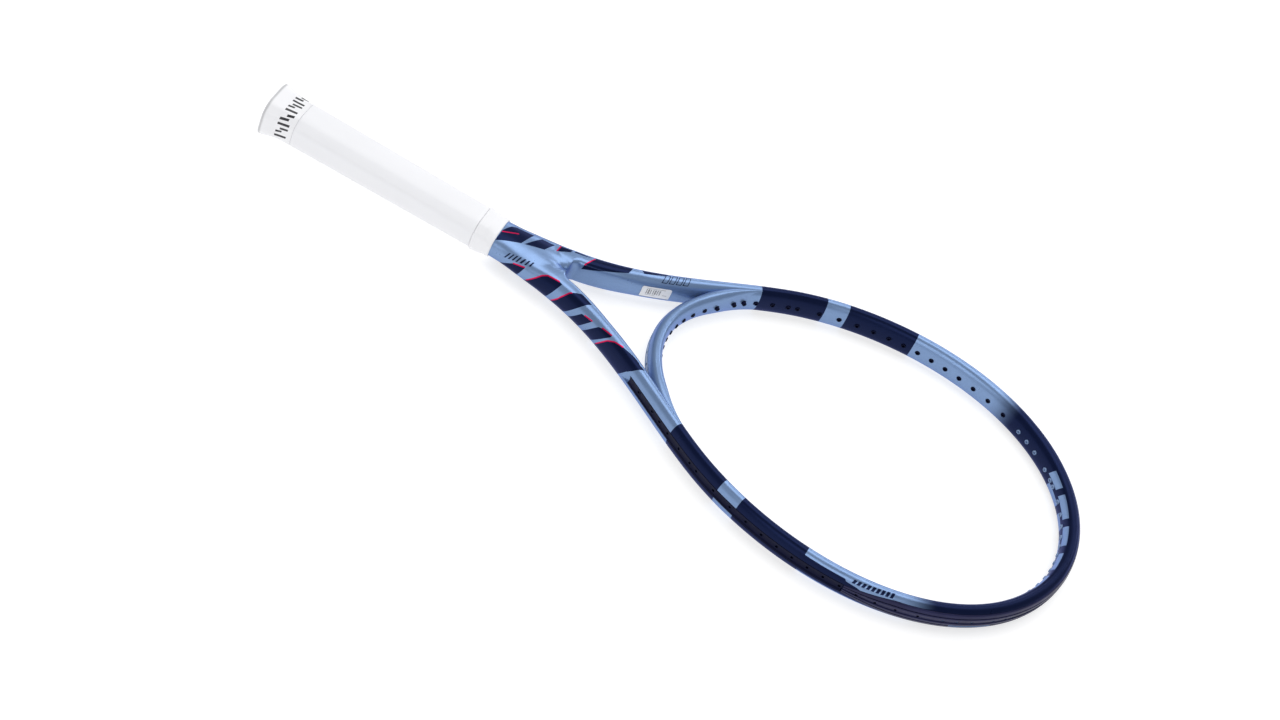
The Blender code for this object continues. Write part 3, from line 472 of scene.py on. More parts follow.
class Look:
    """A procedural material, with short calls for its nodes. Lengths in its patterns are millimetres."""

    def __init__(self, name, **settings):
        self.material = bpy.data.materials.new(name)
        self.material.use_nodes = True
        self.tree = self.material.node_tree
        self.shader = self.tree.nodes["Principled BSDF"]
        for word, value in settings.items():
            self.set(word.replace("_", " ").title().replace("Ior", "IOR"), value)
        self.position = self.brighten(self.node("ShaderNodeNewGeometry").outputs["Position"], 1 / MM)

    def feed(self, socket, value):
        """Links a node's output to the socket, or sets a number, vector or colour on it."""
        if hasattr(value, "is_output"):
            self.tree.links.new(value, socket)
        else:
            socket.default_value = (*value, 1.0) if socket.type == "RGBA" else value

    def set(self, name, value):
        self.feed(self.shader.inputs[name], value)

    def node(self, kind, inputs=(), **settings):
        made = self.tree.nodes.new(kind)
        for word, value in settings.items():
            setattr(made, word, value)
        for word, value in dict(inputs).items():
            self.feed(made.inputs[word], value)
        return made

    def math(self, operation, *values):
        return self.node("ShaderNodeMath", enumerate(values), operation=operation).outputs[0]

    def times(self, first, second):
        return self.math("MULTIPLY", first, second)

    def dot(self, first, second):
        made = self.node("ShaderNodeVectorMath", {0: first, 1: second}, operation="DOT_PRODUCT")
        return made.outputs["Value"]

    def brighten(self, colour, gain):
        """The colour or vector times a gain that may vary."""
        made = self.node("ShaderNodeVectorMath", {0: colour, "Scale": gain}, operation="SCALE")
        return made.outputs["Vector"]

    def where(self, axis):
        return self.dot(self.position, tuple(float(axis == a) for a in "xyz"))

    def side(self, left=1.0):
        """This value on the left half of the racket, and the opposite one on the right half."""
        return self.span(self.where("y"), -0.01, 0.01, -left, left)

    def field(self, name):
        return self.node("ShaderNodeAttribute", attribute_name=name).outputs["Fac"]

    def pair(self, u, v):
        """The vector (u, v, 1), which patch() reads."""
        return self.node("ShaderNodeCombineXYZ", {0: u, 1: v, 2: 1.0}).outputs[0]

    def span(self, value, low, high, first=0.0, second=1.0, kind="LINEAR"):
        made = self.node("ShaderNodeMapRange", enumerate((value, low, high, first, second)),
                         clamp=True, interpolation_type=kind)
        return made.outputs[0]

    def noise(self, size, detail=2.0, roughness=0.5, stretch=(1.0, 1.0, 1.0)):
        place = self.node("ShaderNodeVectorMath", {0: self.position, 1: stretch}, operation="MULTIPLY")
        made = self.node("ShaderNodeTexNoise", {"Vector": place.outputs["Vector"], "Scale": 1.0 / size,
                                                "Detail": detail, "Roughness": roughness})
        return made.outputs["Fac"]

    def drift(self, low, high, size, detail=3.0, stretch=(1.0, 1.0, 1.0)):
        """A value that wanders between low and high."""
        return self.span(self.noise(size, detail, stretch=stretch), 0.3, 0.7, low, high)

    def cells(self, size, feature="F1", output="Distance"):
        made = self.node("ShaderNodeTexVoronoi", {"Vector": self.position, "Scale": 1.0 / size},
                         feature=feature)
        return made.outputs[output]

    def blend(self, share, first, second):
        made = self.node("ShaderNodeMix", {"Factor": share}, data_type="RGBA")
        for socket, value in zip([s for s in made.inputs if s.type == "RGBA"], (first, second)):
            self.feed(socket, value)
        return next(s for s in made.outputs if s.type == "RGBA")

    def finished(self, colour, roughness, height, distance, strength=1.0):
        """The material, with this colour and roughness, and a bump this deep."""
        bump = self.node("ShaderNodeBump", {"Strength": strength, "Distance": distance * MM,
                                            "Height": height})
        for name, value in (("Base Color", colour), ("Roughness", roughness), ("Normal", bump.outputs[0])):
            self.set(name, value)
        return self.material

    def patch(self, plane, corners):
        """How far inside a convex patch a place is; plane is from pair()."""
        middle = np.mean(np.array(corners, float), axis=0)
        sides = []
        for a, b in zip(corners, corners[1:] + corners[:1]):
            normal = np.array((a[1] - b[1], b[0] - a[0])) / math.hypot(b[0] - a[0], b[1] - a[1])
            if normal @ (middle - a) < 0:
                normal = -normal
            sides.append(self.dot(plane, (*normal, float(-normal @ np.array(a)))))
        return self.any(sides, "MINIMUM")

    def line(self, plane, points, wide):
        """How far inside a thin line along the points a place is."""
        found = []
        for a, b in zip(np.array(points), np.array(points[1:])):
            side = outward(b - a) * wide / 2
            found.append(self.patch(plane, [a - side, b - side, b + side, a + side]))
        return self.any(found)

    def any(self, distances, pick="MAXIMUM"):
        return reduce(lambda best, other: self.math(pick, best, other), distances)

    def between(self, value, low, high):
        return self.math("MINIMUM", self.math("SUBTRACT", value, low),
                         self.math("SUBTRACT", high, value))

    def cover(self, distance, soft=0.07):
        return self.span(distance, -soft, soft)


LIGHT_BLUE = (0.195, 0.295, 0.49)
NAVY = (0.0045, 0.009, 0.038)
BLUE_SHEEN = (0.42, 0.5, 1.0)
CRIMSON = (0.62, 0.006, 0.07)
PAINT = {"metallic": 0.6, "specular_ior_level": 0.3, "specular_tint": BLUE_SHEEN}

# Painted panels. Corners are (run, round) where round is the girth seen from the right side of the
# racket, and the same pattern turned half round the long axis is on the left side.
SIDE_PANELS = (
    ((201.7, -10.6), (217.4, 2.5), (226.4, 5.8), (221.1, -10.6)),
    ((225.1, -10.6), (239.3, 8.1), (242.8, 10.6), (252.8, 12.5), (255.3, 12.2), (246.6, -10.6)),
    ((250.5, -10.6), (263.7, 11.0), (271.5, 17.6), (282.2, 16.8), (278.5, 10.8), (263.7, -10.6)),
    ((269.2, -10.6), (281.5, 6.0), (285.1, 6.4), (292.4, 7.7), (280.3, -10.6)),
    ((285.5, -10.6), (298.7, 8.5), (302.0, 10.0), (311.2, 11.9), (311.3, 10.3), (295.5, -10.6)),
    ((299.8, -10.6), (311.2, 6.9), (316.3, 10.7), (323.8, 13.3), (334.4, 15.8), (348.0, 18.0),
     (330.7, -10.6)),
    ((259.9, -22.3), (266.0, -12.2), (295.2, -12.2), (291.4, -18.3), (274.2, -22.1)),
    ((258.9, -26.8), (259.9, -22.3), (274.2, -22.1)),
    ((301.4, -12.2), (303.2, -16.2), (320.8, -14.5), (323.2, -12.2)),
)
SIDE_LINES = (
    ((217.4, 2.7), (226.1, 5.9)),
    ((230.4, -3.5), (239.3, 8.2), (242.8, 10.7), (252.8, 12.6)),
    ((252.7, -7.0), (263.7, 11.0), (265.4, 12.3)),
    ((284.0, 6.5), (292.2, 7.9)),
    ((301.3, 10.2), (311.0, 12.1)),
    ((302.8, -6.0), (311.2, 6.9), (316.3, 10.8), (323.8, 13.4)),
    ((259.9, -22.3), (264.9, -13.9)),
)
# The same, as (x, y) on the upper face of the shaft.
FACE_PANELS = (
    ((197.4, -11.9), (197.8, -1.3), (201.7, 7.0), (205.2, 9.0), (219.4, 10.9), (214.9, -4.0)),
    ((217.2, -3.1), (225.8, 11.9), (236.2, 13.3), (231.8, 2.3)),
    ((240.4, 15.3), (249.6, 16.9), (249.1, 13.8), (240.3, 8.6)),
    ((251.5, 15.3), (252.0, 17.6), (266.2, 20.0), (260.1, 17.6)),
)
FACE_LINES = (((198.0, -3.0), (209.5, 3.4)), ((240.3, 15.6), (239.9, 8.4)))
# Bands of the hoop, as places along the racket where section planes cut it.
NAVY_BANDS = ((385.0, 433.5), (451.0, 507.5))
NAVY_FADE = (580.0, 606.0)
# The outer flank beside the light panel.
FLANK_PANELS = (
    ((524.0, -9.0), (524.0, 10.8), (555.2, 10.5), (557.0, 8.5), (557.0, -9.0)),
    ((555.0, -9.0), (555.0, 9.2), (564.5, 7.8), (575.0, 4.3), (575.0, -9.0)),
    ((572.0, -9.0), (572.0, 4.3), (612.0, 9.1), (640.0, 12.0), (640.0, -9.0)),
)
# Plain marks: (foot line, head line, number of bars, bar's share of the pitch).
SHAFT_MARK = (((209.0, 2.0), (231.0, 9.2)), ((211.5, 7.6), (232.0, 13.6)), 7, 0.42)
PANEL_MARK = (((560.0, 9.8), (590.0, 9.8)), ((561.0, 12.8), (591.0, 14.0)), 9, 0.66)
ARM_BOXES = (((317.0, -20.8), (339.0, -20.6)), ((320.5, -13.6), (342.0, -13.8)), 4, 0.8)
BOX_LINE = 0.6
# Two rows of plain slanted bars on the inner wall of the tip, as places measured from the tip.
TIP_ROWS = (
    ((2.0, 8.6), ((97.0, 79.0), (72.0, 46.0), (37.0, 14.0), (4.0, -19.0), (-29.0, -52.0))),
    ((-8.4, -1.8), ((93.0, 69.0), (60.0, 41.0), (30.0, 2.0), (-8.0, -29.0), (-39.0, -57.0))),
)
TIP_INNER_GIRTH = 16.5


def slanted_bars(foot, head, count, share):
    """Slanted bars between two lines, as a plain generic mark."""
    foot, head = np.array(foot), np.array(head)
    ends = [(k / count, (k + share) / count) for k in range(count)]
    return [[mix(*foot, a), mix(*foot, b), mix(*head, b), mix(*head, a)] for a, b in ends]


def painted(look, colour):
    """Metallic paint: fine flakes, a slow drift of tone, smudges and a faint orange peel."""
    flake = look.span(look.cells(0.35, output="Color"), 0.0, 1.0, 0.93, 1.09)
    tone = look.times(flake, look.drift(0.95, 1.05, 60.0))
    smudges = look.span(look.noise(9.0, 4.0, 0.6), 0.3, 0.75, 0.27, 0.37)
    peel = look.math("ADD", look.times(look.noise(1.6), 0.6), look.noise(0.4, 1.0))
    return look.finished(look.brighten(colour, tone), smudges, peel, 0.012)


def tip_bars(look, run, girth):
    place = look.times(look.math("SUBTRACT", RUN_TIP, run), look.side())
    plane = look.pair(place, look.where("z"))
    bars = [look.patch(plane, [(first, low), (first - 3.0, high), (last - 3.0, high), (last, low)])
            for (low, high), places in TIP_ROWS for first, last in places]
    inner = look.math("GREATER_THAN", look.math("ABSOLUTE", girth), TIP_INNER_GIRTH)
    return look.times(look.cover(look.any(bars)), inner)


def frame_paint():
    look = Look("frame_paint", **PAINT)
    run, girth = look.field("run"), look.field("girth")
    left = look.math("GREATER_THAN", look.where("y"), 0.0)
    skin = look.pair(run, look.times(girth, look.span(left, 0.0, 1.0, 1.0, -1.0)))
    over = look.math("SIGN", look.where("z"))
    face = look.pair(look.where("x"), look.times(look.where("y"), over))
    marks = slanted_bars(*SHAFT_MARK) + slanted_bars(*PANEL_MARK)
    dark = [look.patch(skin, p) for p in (*SIDE_PANELS, *FLANK_PANELS, *marks)]
    dark += [look.patch(face, p) for p in FACE_PANELS]
    dark += [look.between(run, station_at(low).run, station_at(high).run) for low, high in NAVY_BANDS]
    boxes = look.any([look.patch(skin, box) for box in slanted_bars(*ARM_BOXES)])
    dark.append(look.math("MINIMUM", boxes, look.math("SUBTRACT", BOX_LINE, boxes)))
    fade = look.span(run, *(station_at(x).run for x in NAVY_FADE), kind="SMOOTHSTEP")
    navy = look.math("MAXIMUM", look.cover(look.any(dark)), fade)
    navy = look.times(navy, look.math("SUBTRACT", 1.0, tip_bars(look, run, girth)))
    lines = [look.line(skin, p, 1.0) for p in SIDE_LINES] + [look.line(face, p, 1.0) for p in FACE_LINES]
    colour = look.blend(navy, LIGHT_BLUE, NAVY)
    return painted(look, look.blend(look.cover(look.any(lines)), colour, CRIMSON))


def moulded(name, colour, low, high, grain, relief, lighter=1.3, pattern=None, **settings):
    """Moulded plastic: fine spark-eroded grain, faint flow marks along the part, and handling wear."""
    look = Look(name, **settings)
    flow = look.drift(1.0 / lighter, lighter, 14.0, stretch=(0.35, 1.0, 1.0))
    colour = look.brighten(colour, flow)
    colour = pattern(look, colour) if pattern else colour
    return look.finished(colour, look.drift(low, high, 7.0, 4.0), look.noise(grain, 2.0, 0.6), relief)


def guard_slots(look, navy):
    """Two short pale slots in the guard's grooves, on each side of the tip."""
    height = look.times(look.where("z"), look.side(-1.0))
    slots = [look.math("MINIMUM", look.between(height, low, high),
                       look.between(look.where("x"), 621.0, 648.0))
             for low, high in ((-5.0, -4.1), (-7.2, -6.5))]
    return look.blend(look.cover(look.any(slots)), navy, (0.17, 0.28, 0.5))


def grip_leather():
    """Fine pebbles and creases, with tone and gloss that vary where hands have been."""
    look = Look("grip_leather", sheen_weight=0.15, sheen_roughness=0.4, specular_ior_level=0.35)
    crease = look.span(look.cells(1.7, feature="DISTANCE_TO_EDGE"), 0.0, 0.12)
    hand = look.noise(22.0, 3.0, stretch=(0.4, 1.0, 1.0))
    white = look.brighten((0.86, 0.862, 0.885), look.span(hand, 0.3, 0.7, 0.985, 1.01))
    pebble = look.cells(0.9, feature="SMOOTH_F1")
    relief = look.math("ADD", look.times(pebble, 0.8), look.times(crease, 0.3))
    return look.finished(white, look.span(hand, 0.3, 0.7, 0.52, 0.64), relief, 0.05, 0.6)


# The cap's bars, as (first x, last x), and their pitch and width round the neck.
CAP_BARS = ((13.2, 22.4), (13.2, 18.0), (16.0, 22.4), (13.2, 22.4), (13.2, 20.0), (17.0, 22.4),
            (13.2, 22.4), (13.2, 18.0), (15.0, 22.4), (13.2, 22.4), (13.2, 19.5), (16.5, 22.4))
CAP_BAR_PITCH, CAP_BAR_WIDTH, CAP_BAR_SLANT, CAP_NECK_RADIUS = 3.8, 1.9, 1.5, 17.0


def cap_plastic():
    """White plastic darkened round the rim as painted shade, and plain slanted bars round the neck."""
    look = Look("cap_plastic", coat_weight=0.1, coat_roughness=0.3)
    around = look.math("ARCTAN2", look.where("z"), look.times(look.where("y"), -1.0))
    plane = look.pair(look.where("x"), look.times(around, CAP_NECK_RADIUS))
    bars = []
    for k, (low, high) in enumerate(CAP_BARS):
        foot = -6.0 + CAP_BAR_PITCH * k
        head = foot + CAP_BAR_SLANT
        bars.append(look.patch(plane, [(low, foot), (low, foot + CAP_BAR_WIDTH),
                                       (high, head + CAP_BAR_WIDTH), (high, head)]))
    # Painted shade: the white darkens in a band round the rounded rim.
    rim_shade = look.cover(look.between(look.where("x"), 0.8, 2.3), 0.6)
    tone = look.times(look.drift(0.985, 1.01, 12.0), look.span(rim_shade, 0.0, 1.0, 1.0, 0.62))
    white = look.brighten((0.86, 0.86, 0.88), tone)
    colour = look.blend(look.cover(look.any(bars)), white, (0.012, 0.012, 0.016))
    return look.finished(colour, look.drift(0.36, 0.46, 6.0, 4.0), look.noise(0.5), 0.01)


# Plain rules on the label, and as the last row a painted shadow along its lower edge: (first x, last x,
# height, thickness).
STICKER_RULES_AND_SHADOW = ((311.0, 324.0, 3.6, 0.35), (311.0, 318.0, -3.4, 0.4), (323.0, 326.0, -2.0, 0.5),
                 (300.0, 335.0, -6.4, 0.6))


def sticker_paper():
    """A white label with plain bars of uneven width, plain rules round them, and a painted shadow line
    along its lower edge.
    """
    look = Look("sticker_paper", specular_ior_level=0.4)
    x, z = look.where("x"), look.where("z")
    waves = look.math("ADD", *(look.math("SINE", look.times(x, pace)) for pace in (4.1, 6.7)))
    field = look.cover(look.math("MINIMUM", look.between(x, 311.0, 321.5), look.between(z, -2.2, 2.9)))
    # The last rule is a painted shadow along the label's lower edge, inked like the print.
    rules_and_shadow = look.any([look.math("MINIMUM", look.between(x, low, high), look.between(z, h, h + thick))
                      for low, high, h, thick in STICKER_RULES_AND_SHADOW])
    bars = look.times(look.math("GREATER_THAN", waves, 0.0), field)
    ink_and_shadow = look.times(look.math("MAXIMUM", bars, look.cover(rules_and_shadow)), 0.75)
    colour = look.blend(ink_and_shadow, (0.86, 0.86, 0.87), (0.06, 0.06, 0.07))
    return look.finished(colour, look.drift(0.45, 0.6, 3.0), look.noise(0.25, 3.0), 0.008)


def metal(name, colour, low, high):
    """Drawn or cast metal with fine lines and dull patches."""
    look = Look(name, metallic=1.0)
    lines = look.noise(0.3, stretch=(1.0, 8.0, 1.0))
    dull = look.brighten(colour, look.drift(0.85, 1.1, 3.0))
    return look.finished(dull, look.span(lines, 0.3, 0.7, low, high), lines, 0.01)


FRAME_PAINT = frame_paint()
BRIDGE_PAINT = painted(Look("bridge_paint", **PAINT), LIGHT_BLUE)
GUARD_PLASTIC = moulded("guard_plastic", (0.008, 0.011, 0.04), 0.3, 0.42, 0.5, 0.01, pattern=guard_slots,
                        specular_ior_level=0.45, specular_tint=(0.55, 0.5, 1.0))
STRIP_PLASTIC = moulded("strip_plastic", (0.0022, 0.0035, 0.018), 0.4, 0.52, 0.45, 0.01,
                        specular_ior_level=0.12, specular_tint=(0.5, 0.5, 1.0))
PALE_PLASTIC = moulded("strip_plastic_pale", (0.2, 0.3, 0.5), 0.35, 0.45, 0.45, 0.01, lighter=1.08)
CAP_PLASTIC = cap_plastic()
GRIP_LEATHER = grip_leather()
COLLAR_RUBBER = moulded("collar_rubber", (0.86, 0.86, 0.88), 0.42, 0.54, 0.7, 0.012, lighter=1.012)
TAPE_FILM = moulded("tape", (0.8, 0.8, 0.82), 0.3, 0.45, 0.8, 0.01, lighter=1.03)
PALLET_FOAM = moulded("pallet_foam", (0.15, 0.14, 0.12), 0.8, 0.95, 0.35, 0.12, lighter=1.2)
STICKER_PAPER = sticker_paper()
STAPLE_STEEL = metal("staple_steel", (0.6, 0.6, 0.62), 0.22, 0.38)
WEIGHT_METAL = metal("weight_metal", (0.28, 0.28, 0.3), 0.45, 0.65)


# ---- string holes ----

FLOOR_PATH = [s.centre + s.normal * (s.half_width - s.depth)
              for s in (*map(hoop_station, np.linspace(0.0, ARM_LEAVES_DEG, 120)),
                        *map(arm_station, np.linspace(0.02, 0.7, 50)))]
BRIDGE_FLOOR = BRIDGE_HALF_WIDTH - BRIDGE_CHANNEL_DEPTH
BRIDGE_SKIN_X = 386.0  # nearer the butt, holes come out through the bridge's blended skin


def reach_to_floor(point, out):
    """How far from the point, in the direction out, the channel's floor lies."""
    reaches = []
    for a, b in zip(FLOOR_PATH, FLOOR_PATH[1:]):
        along, offset = b - a, a - point
        cross = out[0] * along[1] - out[1] * along[0]
        distance = (offset[0] * along[1] - offset[1] * along[0]) / cross
        share = (offset[0] * out[1] - offset[1] * out[0]) / cross
        if -1e-6 <= share <= 1 + 1e-6 and distance > 0:
            reaches.append(distance)
    return min(reaches)


def bridge_reach_in(degrees):
    """Inner side of the bridge from the oval: it blends into the inner side of the hoop."""
    away = abs(degrees - 180.0)
    blended = mix(BRIDGE_INSET + BRIDGE_HALF_WIDTH, BLEND_REACH, eased((away - 28.0) / 18.0))
    return blended - 0.5 * clamp01((away - 46.0) / 3.0)


class StringHole:
    """A hole square to the oval, with the distances to the channel's floor and to the inner side."""

    def __init__(self, degrees, strip, inset=0.0):
        self.point, self.out = hoop_point(degrees, inset), hoop_normal(degrees, inset)
        self.strip = strip
        if strip == "throat":
            self.floor, self.inner = BRIDGE_FLOOR, BRIDGE_HALF_WIDTH
            return
        self.floor = reach_to_floor(self.point, self.out)
        angle = hoop_angle_at_x(self.point[0])
        bridged = self.point[0] < BRIDGE_SKIN_X
        self.inner = bridge_reach_in(angle) if bridged else hoop_station(angle).half_width


def string_holes():
    made = []
    for k in range(MAINS_PER_SIDE):
        y = MAIN_FIRST_Y + MAIN_PITCH * k + MAIN_SPREAD * k * k
        made.append(StringHole(hoop_angle_at_y(y, True), "guard"))
        strip, inset = ("throat", BRIDGE_INSET) if k < MAINS_THROUGH_BRIDGE else ("side", 0.0)
        made.append(StringHole(hoop_angle_at_y(y, False, inset), strip, inset))
    xs = [CROSS_MIDDLE_X + CROSS_PITCH * j + CROSS_SPREAD * j**3
          for j in range(-CROSSES_PER_END, CROSSES_PER_END + 1)]
    return made + [StringHole(hoop_angle_at_x(x), "guard" if x > GUARD_START_X else "side")
                   for x in (*xs, *TIE_OFF_XS)]


HOLES = string_holes()
BOTH = (1, -1)


def drill_holes(piece, holes, sides, strip):
    """Drills the wide holes of the tube and the bridge, or the narrow bores of a strip."""
    cutters = Body()
    radius = BARREL_BORE if strip else HOLE_RADIUS
    for hole in holes:
        low = hole.floor - 1.0 if strip else -(hole.inner + 3.0)
        for side in sides:
            cutters.loft([circle(hole.point * (1, side), hole.out * (1, side), along, radius, 0.5)
                          for along in (low, hole.floor + 4.0)])
    drill(piece, cutters.made("cutter", FRAME_PAINT), keep=not strip)


def add_barrels(piece, holes, sides, top, look):
    """Round tubes from the strip, top above the channel's floor, to just inside the hoop."""
    barrels = Body()
    for hole in holes:
        tip, end = -(hole.inner + BARREL_STANDS_OUT), hole.floor + top
        loop = ((BARREL_BORE, end), (BARREL_BORE, tip + 0.3), (BARREL_BORE + 0.15, tip),
                (BARREL_RADIUS - 0.2, tip), (BARREL_RADIUS, tip + 0.3), (BARREL_RADIUS, end))
        for side in sides:
            barrels.torus([circle(hole.point * (1, side), hole.out * (1, side), along, radius)
                           for radius, along in loop])
    joined(piece, barrels.made("barrels", look))


def joined(base, extra):
    """Adds the extra object's mesh to the base object's, with its material."""
    mesh, look, first = base.data, extra.data.materials[0], len(base.data.polygons)
    both = bmesh.new()
    both.from_mesh(mesh)
    both.from_mesh(extra.data)
    both.to_mesh(mesh)
    both.free()
    if look not in list(mesh.materials):
        mesh.materials.append(look)
    for face in mesh.polygons[first:]:
        face.material_index = list(mesh.materials).index(look)
    mesh.shade_smooth()
    mesh.set_sharp_from_angle(angle=math.radians(35))
    bpy.data.objects.remove(extra, do_unlink=True)


def flipped(rings):
    return [np.array(ring) * (1, -1, 1) for ring in rings]


# ---- frame and bridge ----


def build_shell():
    rings, runs, closed = half_shell()
    size = len(rings[0])
    body = Body()
    for side in BOTH:
        faces, corners = [], []
        for j in range(len(rings) - 1):
            here, there = girths(rings[j]), girths(rings[j + 1])
            columns = size if j < closed - 1 else size - 1
            faces += band(j, size, columns)
            corners += [[(runs[j], here[i]), (runs[j], here[i + 1]), (runs[j + 1], there[i + 1]),
                         (runs[j + 1], there[i])] for i in range(columns)]
        body.add(np.vstack(rings) * (1, side, 1), faces, corners)
    end = [tuple(p) for p in rings[-1]] + [(x, -y, z) for x, y, z in rings[-1][-2:0:-1]]
    body.add(end, [tuple(range(len(end)))])
    shell = body.made("racket_shell", FRAME_PAINT, sharp=38.0)
    drill_holes(shell, [h for h in HOLES if h.strip != "throat"], BOTH, strip=False)
    show(shell, "hairpin_frame")


def build_bridge():
    """The bridge, flared where it meets the arms. Its ends run on inside the tube."""
    rings = []
    for degrees in np.linspace(131.0, 229.0, 131):
        away = abs(degrees - 180.0)
        flare = eased((away - 20.0) / 12.0)
        high = BRIDGE_HALF_HEIGHT + 0.9 * flare
        depth = BRIDGE_CHANNEL_DEPTH * (1 - clamp01((away - 27.0) / 2.5))
        wide = BRIDGE_HALF_WIDTH + 1.5 * flare - 4.0 * eased((away - 38.0) / 7.0)
        profile = tube_profile(wide, bridge_reach_in(degrees) - BRIDGE_INSET, high, BRIDGE_CHANNEL_HALF,
                               depth, BRIDGE_CHANNEL_DEPTH)
        rings.append(place(profile, hoop_point(degrees, BRIDGE_INSET),
                           hoop_normal(degrees, BRIDGE_INSET)))
    bridge = Body().loft(rings).made("throat_bridge_shell", BRIDGE_PAINT, sharp=38.0)
    # Side holes nearer than this also come out through the bridge's skin.
    wanted = [h for h in HOLES if h.strip == "throat" or h.point[0] < 392.0]
    drill_holes(bridge, wanted, BOTH, strip=False)
    show(bridge, "throat_bridge")


# ---- strips and guard ----


def build_strip(name, rings, look, part, sides, top, node, sharp=40.0):
    """A strip's base through its rings, with a barrel for each of its part's holes."""
    base = Body().loft(rings).made(name, look, sharp)
    holes = [h for h in HOLES if h.strip == part]
    drill_holes(base, holes, sides, strip=True)
    for barrels, pale in ((STRIP_PLASTIC, False), (PALE_PLASTIC, True)):
        wanted = [h for h in holes if (h.point[0] >= PALE_BARREL_X) == pale]
        if wanted:
            add_barrels(base, wanted, sides, top, barrels)
    show(base, node)


def side_strip_profile(station):
    half = station.channel - GAP - 0.15
    floor = station.half_width - station.depth + 0.05
    base, rail = floor + 0.8, floor + 1.4

    def low(z):
        return GAP + oval_out(station.half_width - station.depth, station.half_height, z)

    outer = [(rail - 0.12, half), (rail, half - 0.12), (rail, half - 0.8), (rail - 0.1, half - 0.92),
             (base + 0.05, half - 1.15), (base, half - 1.3)]
    under = [(low(z), z) for z in (-half, -half / 2, 0.0, half / 2, half)]
    return outer + [(out, -z) for out, z in reversed(outer)] + under


def build_side_strips():
    xs = np.linspace(CHANNEL_FULL_X + 1.5, GUARD_START_X - 0.4, 96)
    rings = [place(side_strip_profile(s), s.centre, s.normal) for s in map(station_at, xs)]
    for side, word, skin in ((1, "left", rings), (-1, "right", flipped(rings))):
        build_strip(f"grommet_strip_{word}", skin, STRIP_PLASTIC, "side", (side,), GAP + 0.5,
                    f"side_grommet_strip_{word}")


# Outer face of the guard: (share of the half width, how far it stands proud of the tube).
GUARD_FACE = ((0.99, -0.25), (0.975, 0.12), (0.94, 0.3), (0.86, 0.35), (0.64, 0.35), (0.61, 0.2),
              (0.59, -0.35), (0.5, -0.35), (0.48, 0.2), (0.45, 0.33), (0.25, 0.33), (0.2, 0.15),
              (0.17, -0.45), (0.08, -0.5))


def guard_profile(station):
    half = station.channel - GAP - 0.1
    inner = station.half_width - station.depth + GAP
    high = station.half_height
    lows = [(oval_out(inner, high, half * s), half * s) for s in np.linspace(-0.99, 0.99, 9)]
    shares = list(GUARD_FACE) + [(-s, p) for s, p in reversed(GUARD_FACE)]
    outs = [(oval_out(station.half_width + proud, high + 0.35, half * s), half * s)
            for s, proud in shares]
    return lows + outs


def build_guard():
    start = hoop_angle_at_x(GUARD_START_X + 0.4)
    half = [hoop_station(d) for d in np.linspace(start, 0.0, 110)]
    rings = [place(guard_profile(s), s.centre, s.normal) for s in half]
    rings[-1][:, 1] = 0.0
    build_strip("bumper_guard", rings + flipped(rings[:-1])[::-1], GUARD_PLASTIC, "guard", BOTH,
                GAP + 0.4, "head_bumper_guard", sharp=50.0)


def build_throat_strip():
    half = BRIDGE_CHANNEL_HALF - GAP - 0.1
    last = hoop_angle_at_y(46.0, False, BRIDGE_INSET)
    profile = [(BRIDGE_FLOOR + up, half - less) for up, less in
               ((GAP, 0.0), (1.15, 0.0), (1.3, 0.15), (1.3, 0.8), (1.1, 1.0))]
    profile += [(out, -z) for out, z in reversed(profile)]
    rings = [place(profile, hoop_point(d, BRIDGE_INSET), hoop_normal(d, BRIDGE_INSET))
             for d in np.linspace(last, 360 - last, 60)]
    build_strip("throat_strip", rings, PALE_PLASTIC, "throat", BOTH, 0.8,
                "throat_grommet_strip")


# ---- handle ----


def soft_octagon(x, half_y, half_z, soften, steps=7):
    """An eight-sided section whose corners are rounded."""
    flat_y, flat_z = half_y * (1 - HANDLE_CHAMFER), half_z * (1 - HANDLE_CHAMFER)
    corners = [(half_y, flat_z), (flat_y, half_z), (-flat_y, half_z), (-half_y, flat_z),
               (-half_y, -flat_z), (-flat_y, -half_z), (flat_y, -half_z), (half_y, -flat_z)]
    corners = np.array(corners)
    points = []
    for i, corner in enumerate(corners):
        first, last = mix(corner, corners[i - 1], soften), mix(corner, corners[(i + 1) % 8], soften)
        pull = mix((first + last) / 2, corner, 0.75)
        for t in np.linspace(0.0, 1.0, steps):
            y, z = first * (1 - t) ** 2 + pull * 2 * t * (1 - t) + last * t * t
            points.append((x, y, z))
    return np.array(points)


def as_oval(ring, x, half_y, half_z, power=2.0, even=False):
    """The ring's points moved onto an oval, and spread evenly if asked."""
    points = []
    for i, (_, y, z) in enumerate(ring):
        angle = 2 * math.pi * i / len(ring) if even else math.atan2(z / half_z, y / half_y)
        cy, cz = math.cos(angle), math.sin(angle)
        scale = (abs(cy) ** power + abs(cz) ** power) ** (-1 / power)
        points.append((x, half_y * cy * scale, half_z * cz * scale))
    return np.array(points)


def grip_ring(x, less=0.0, soften=0.2):
    return soft_octagon(x, at(GRIP_HALF_Y, x) - less, at(GRIP_HALF_Z, x) - less, soften)


def build_grip():
    step, end = GRIP_STEP_X, GRIP_END_X
    rings = [grip_ring(GRIP_START_X + on, less) for on, less in
             ((0.0, 1.2), (0.0, 0.45), (0.15, 0.18), (0.5, 0.02))]
    rings += [grip_ring(x) for x in np.linspace(GRIP_START_X + 1.5, step - 1, 60)]
    rings += [grip_ring(x, less) for x, less in ((step, 0.1), (step + 0.4, 1.0), (end, 1.1), (end, 1.6))]
    grip = Body().loft(rings).made("grip_wrap", GRIP_LEATHER, sharp=60.0)
    show(grip, "base_grip")


# Slots for the staples: places along the cap, depths from the axis, and half their length.
SLOT_XS, SLOT_DEPTHS, SLOT_HALF = (16.35, 17.65), (16.25, 21.0), 4.85
CAP_RING_XS = (0.1, 0.25, 0.5, 0.8, 1.2, 1.7, 2.3, 3.0, 3.8, *np.linspace(4.8, 25.8, 26), 26.1)
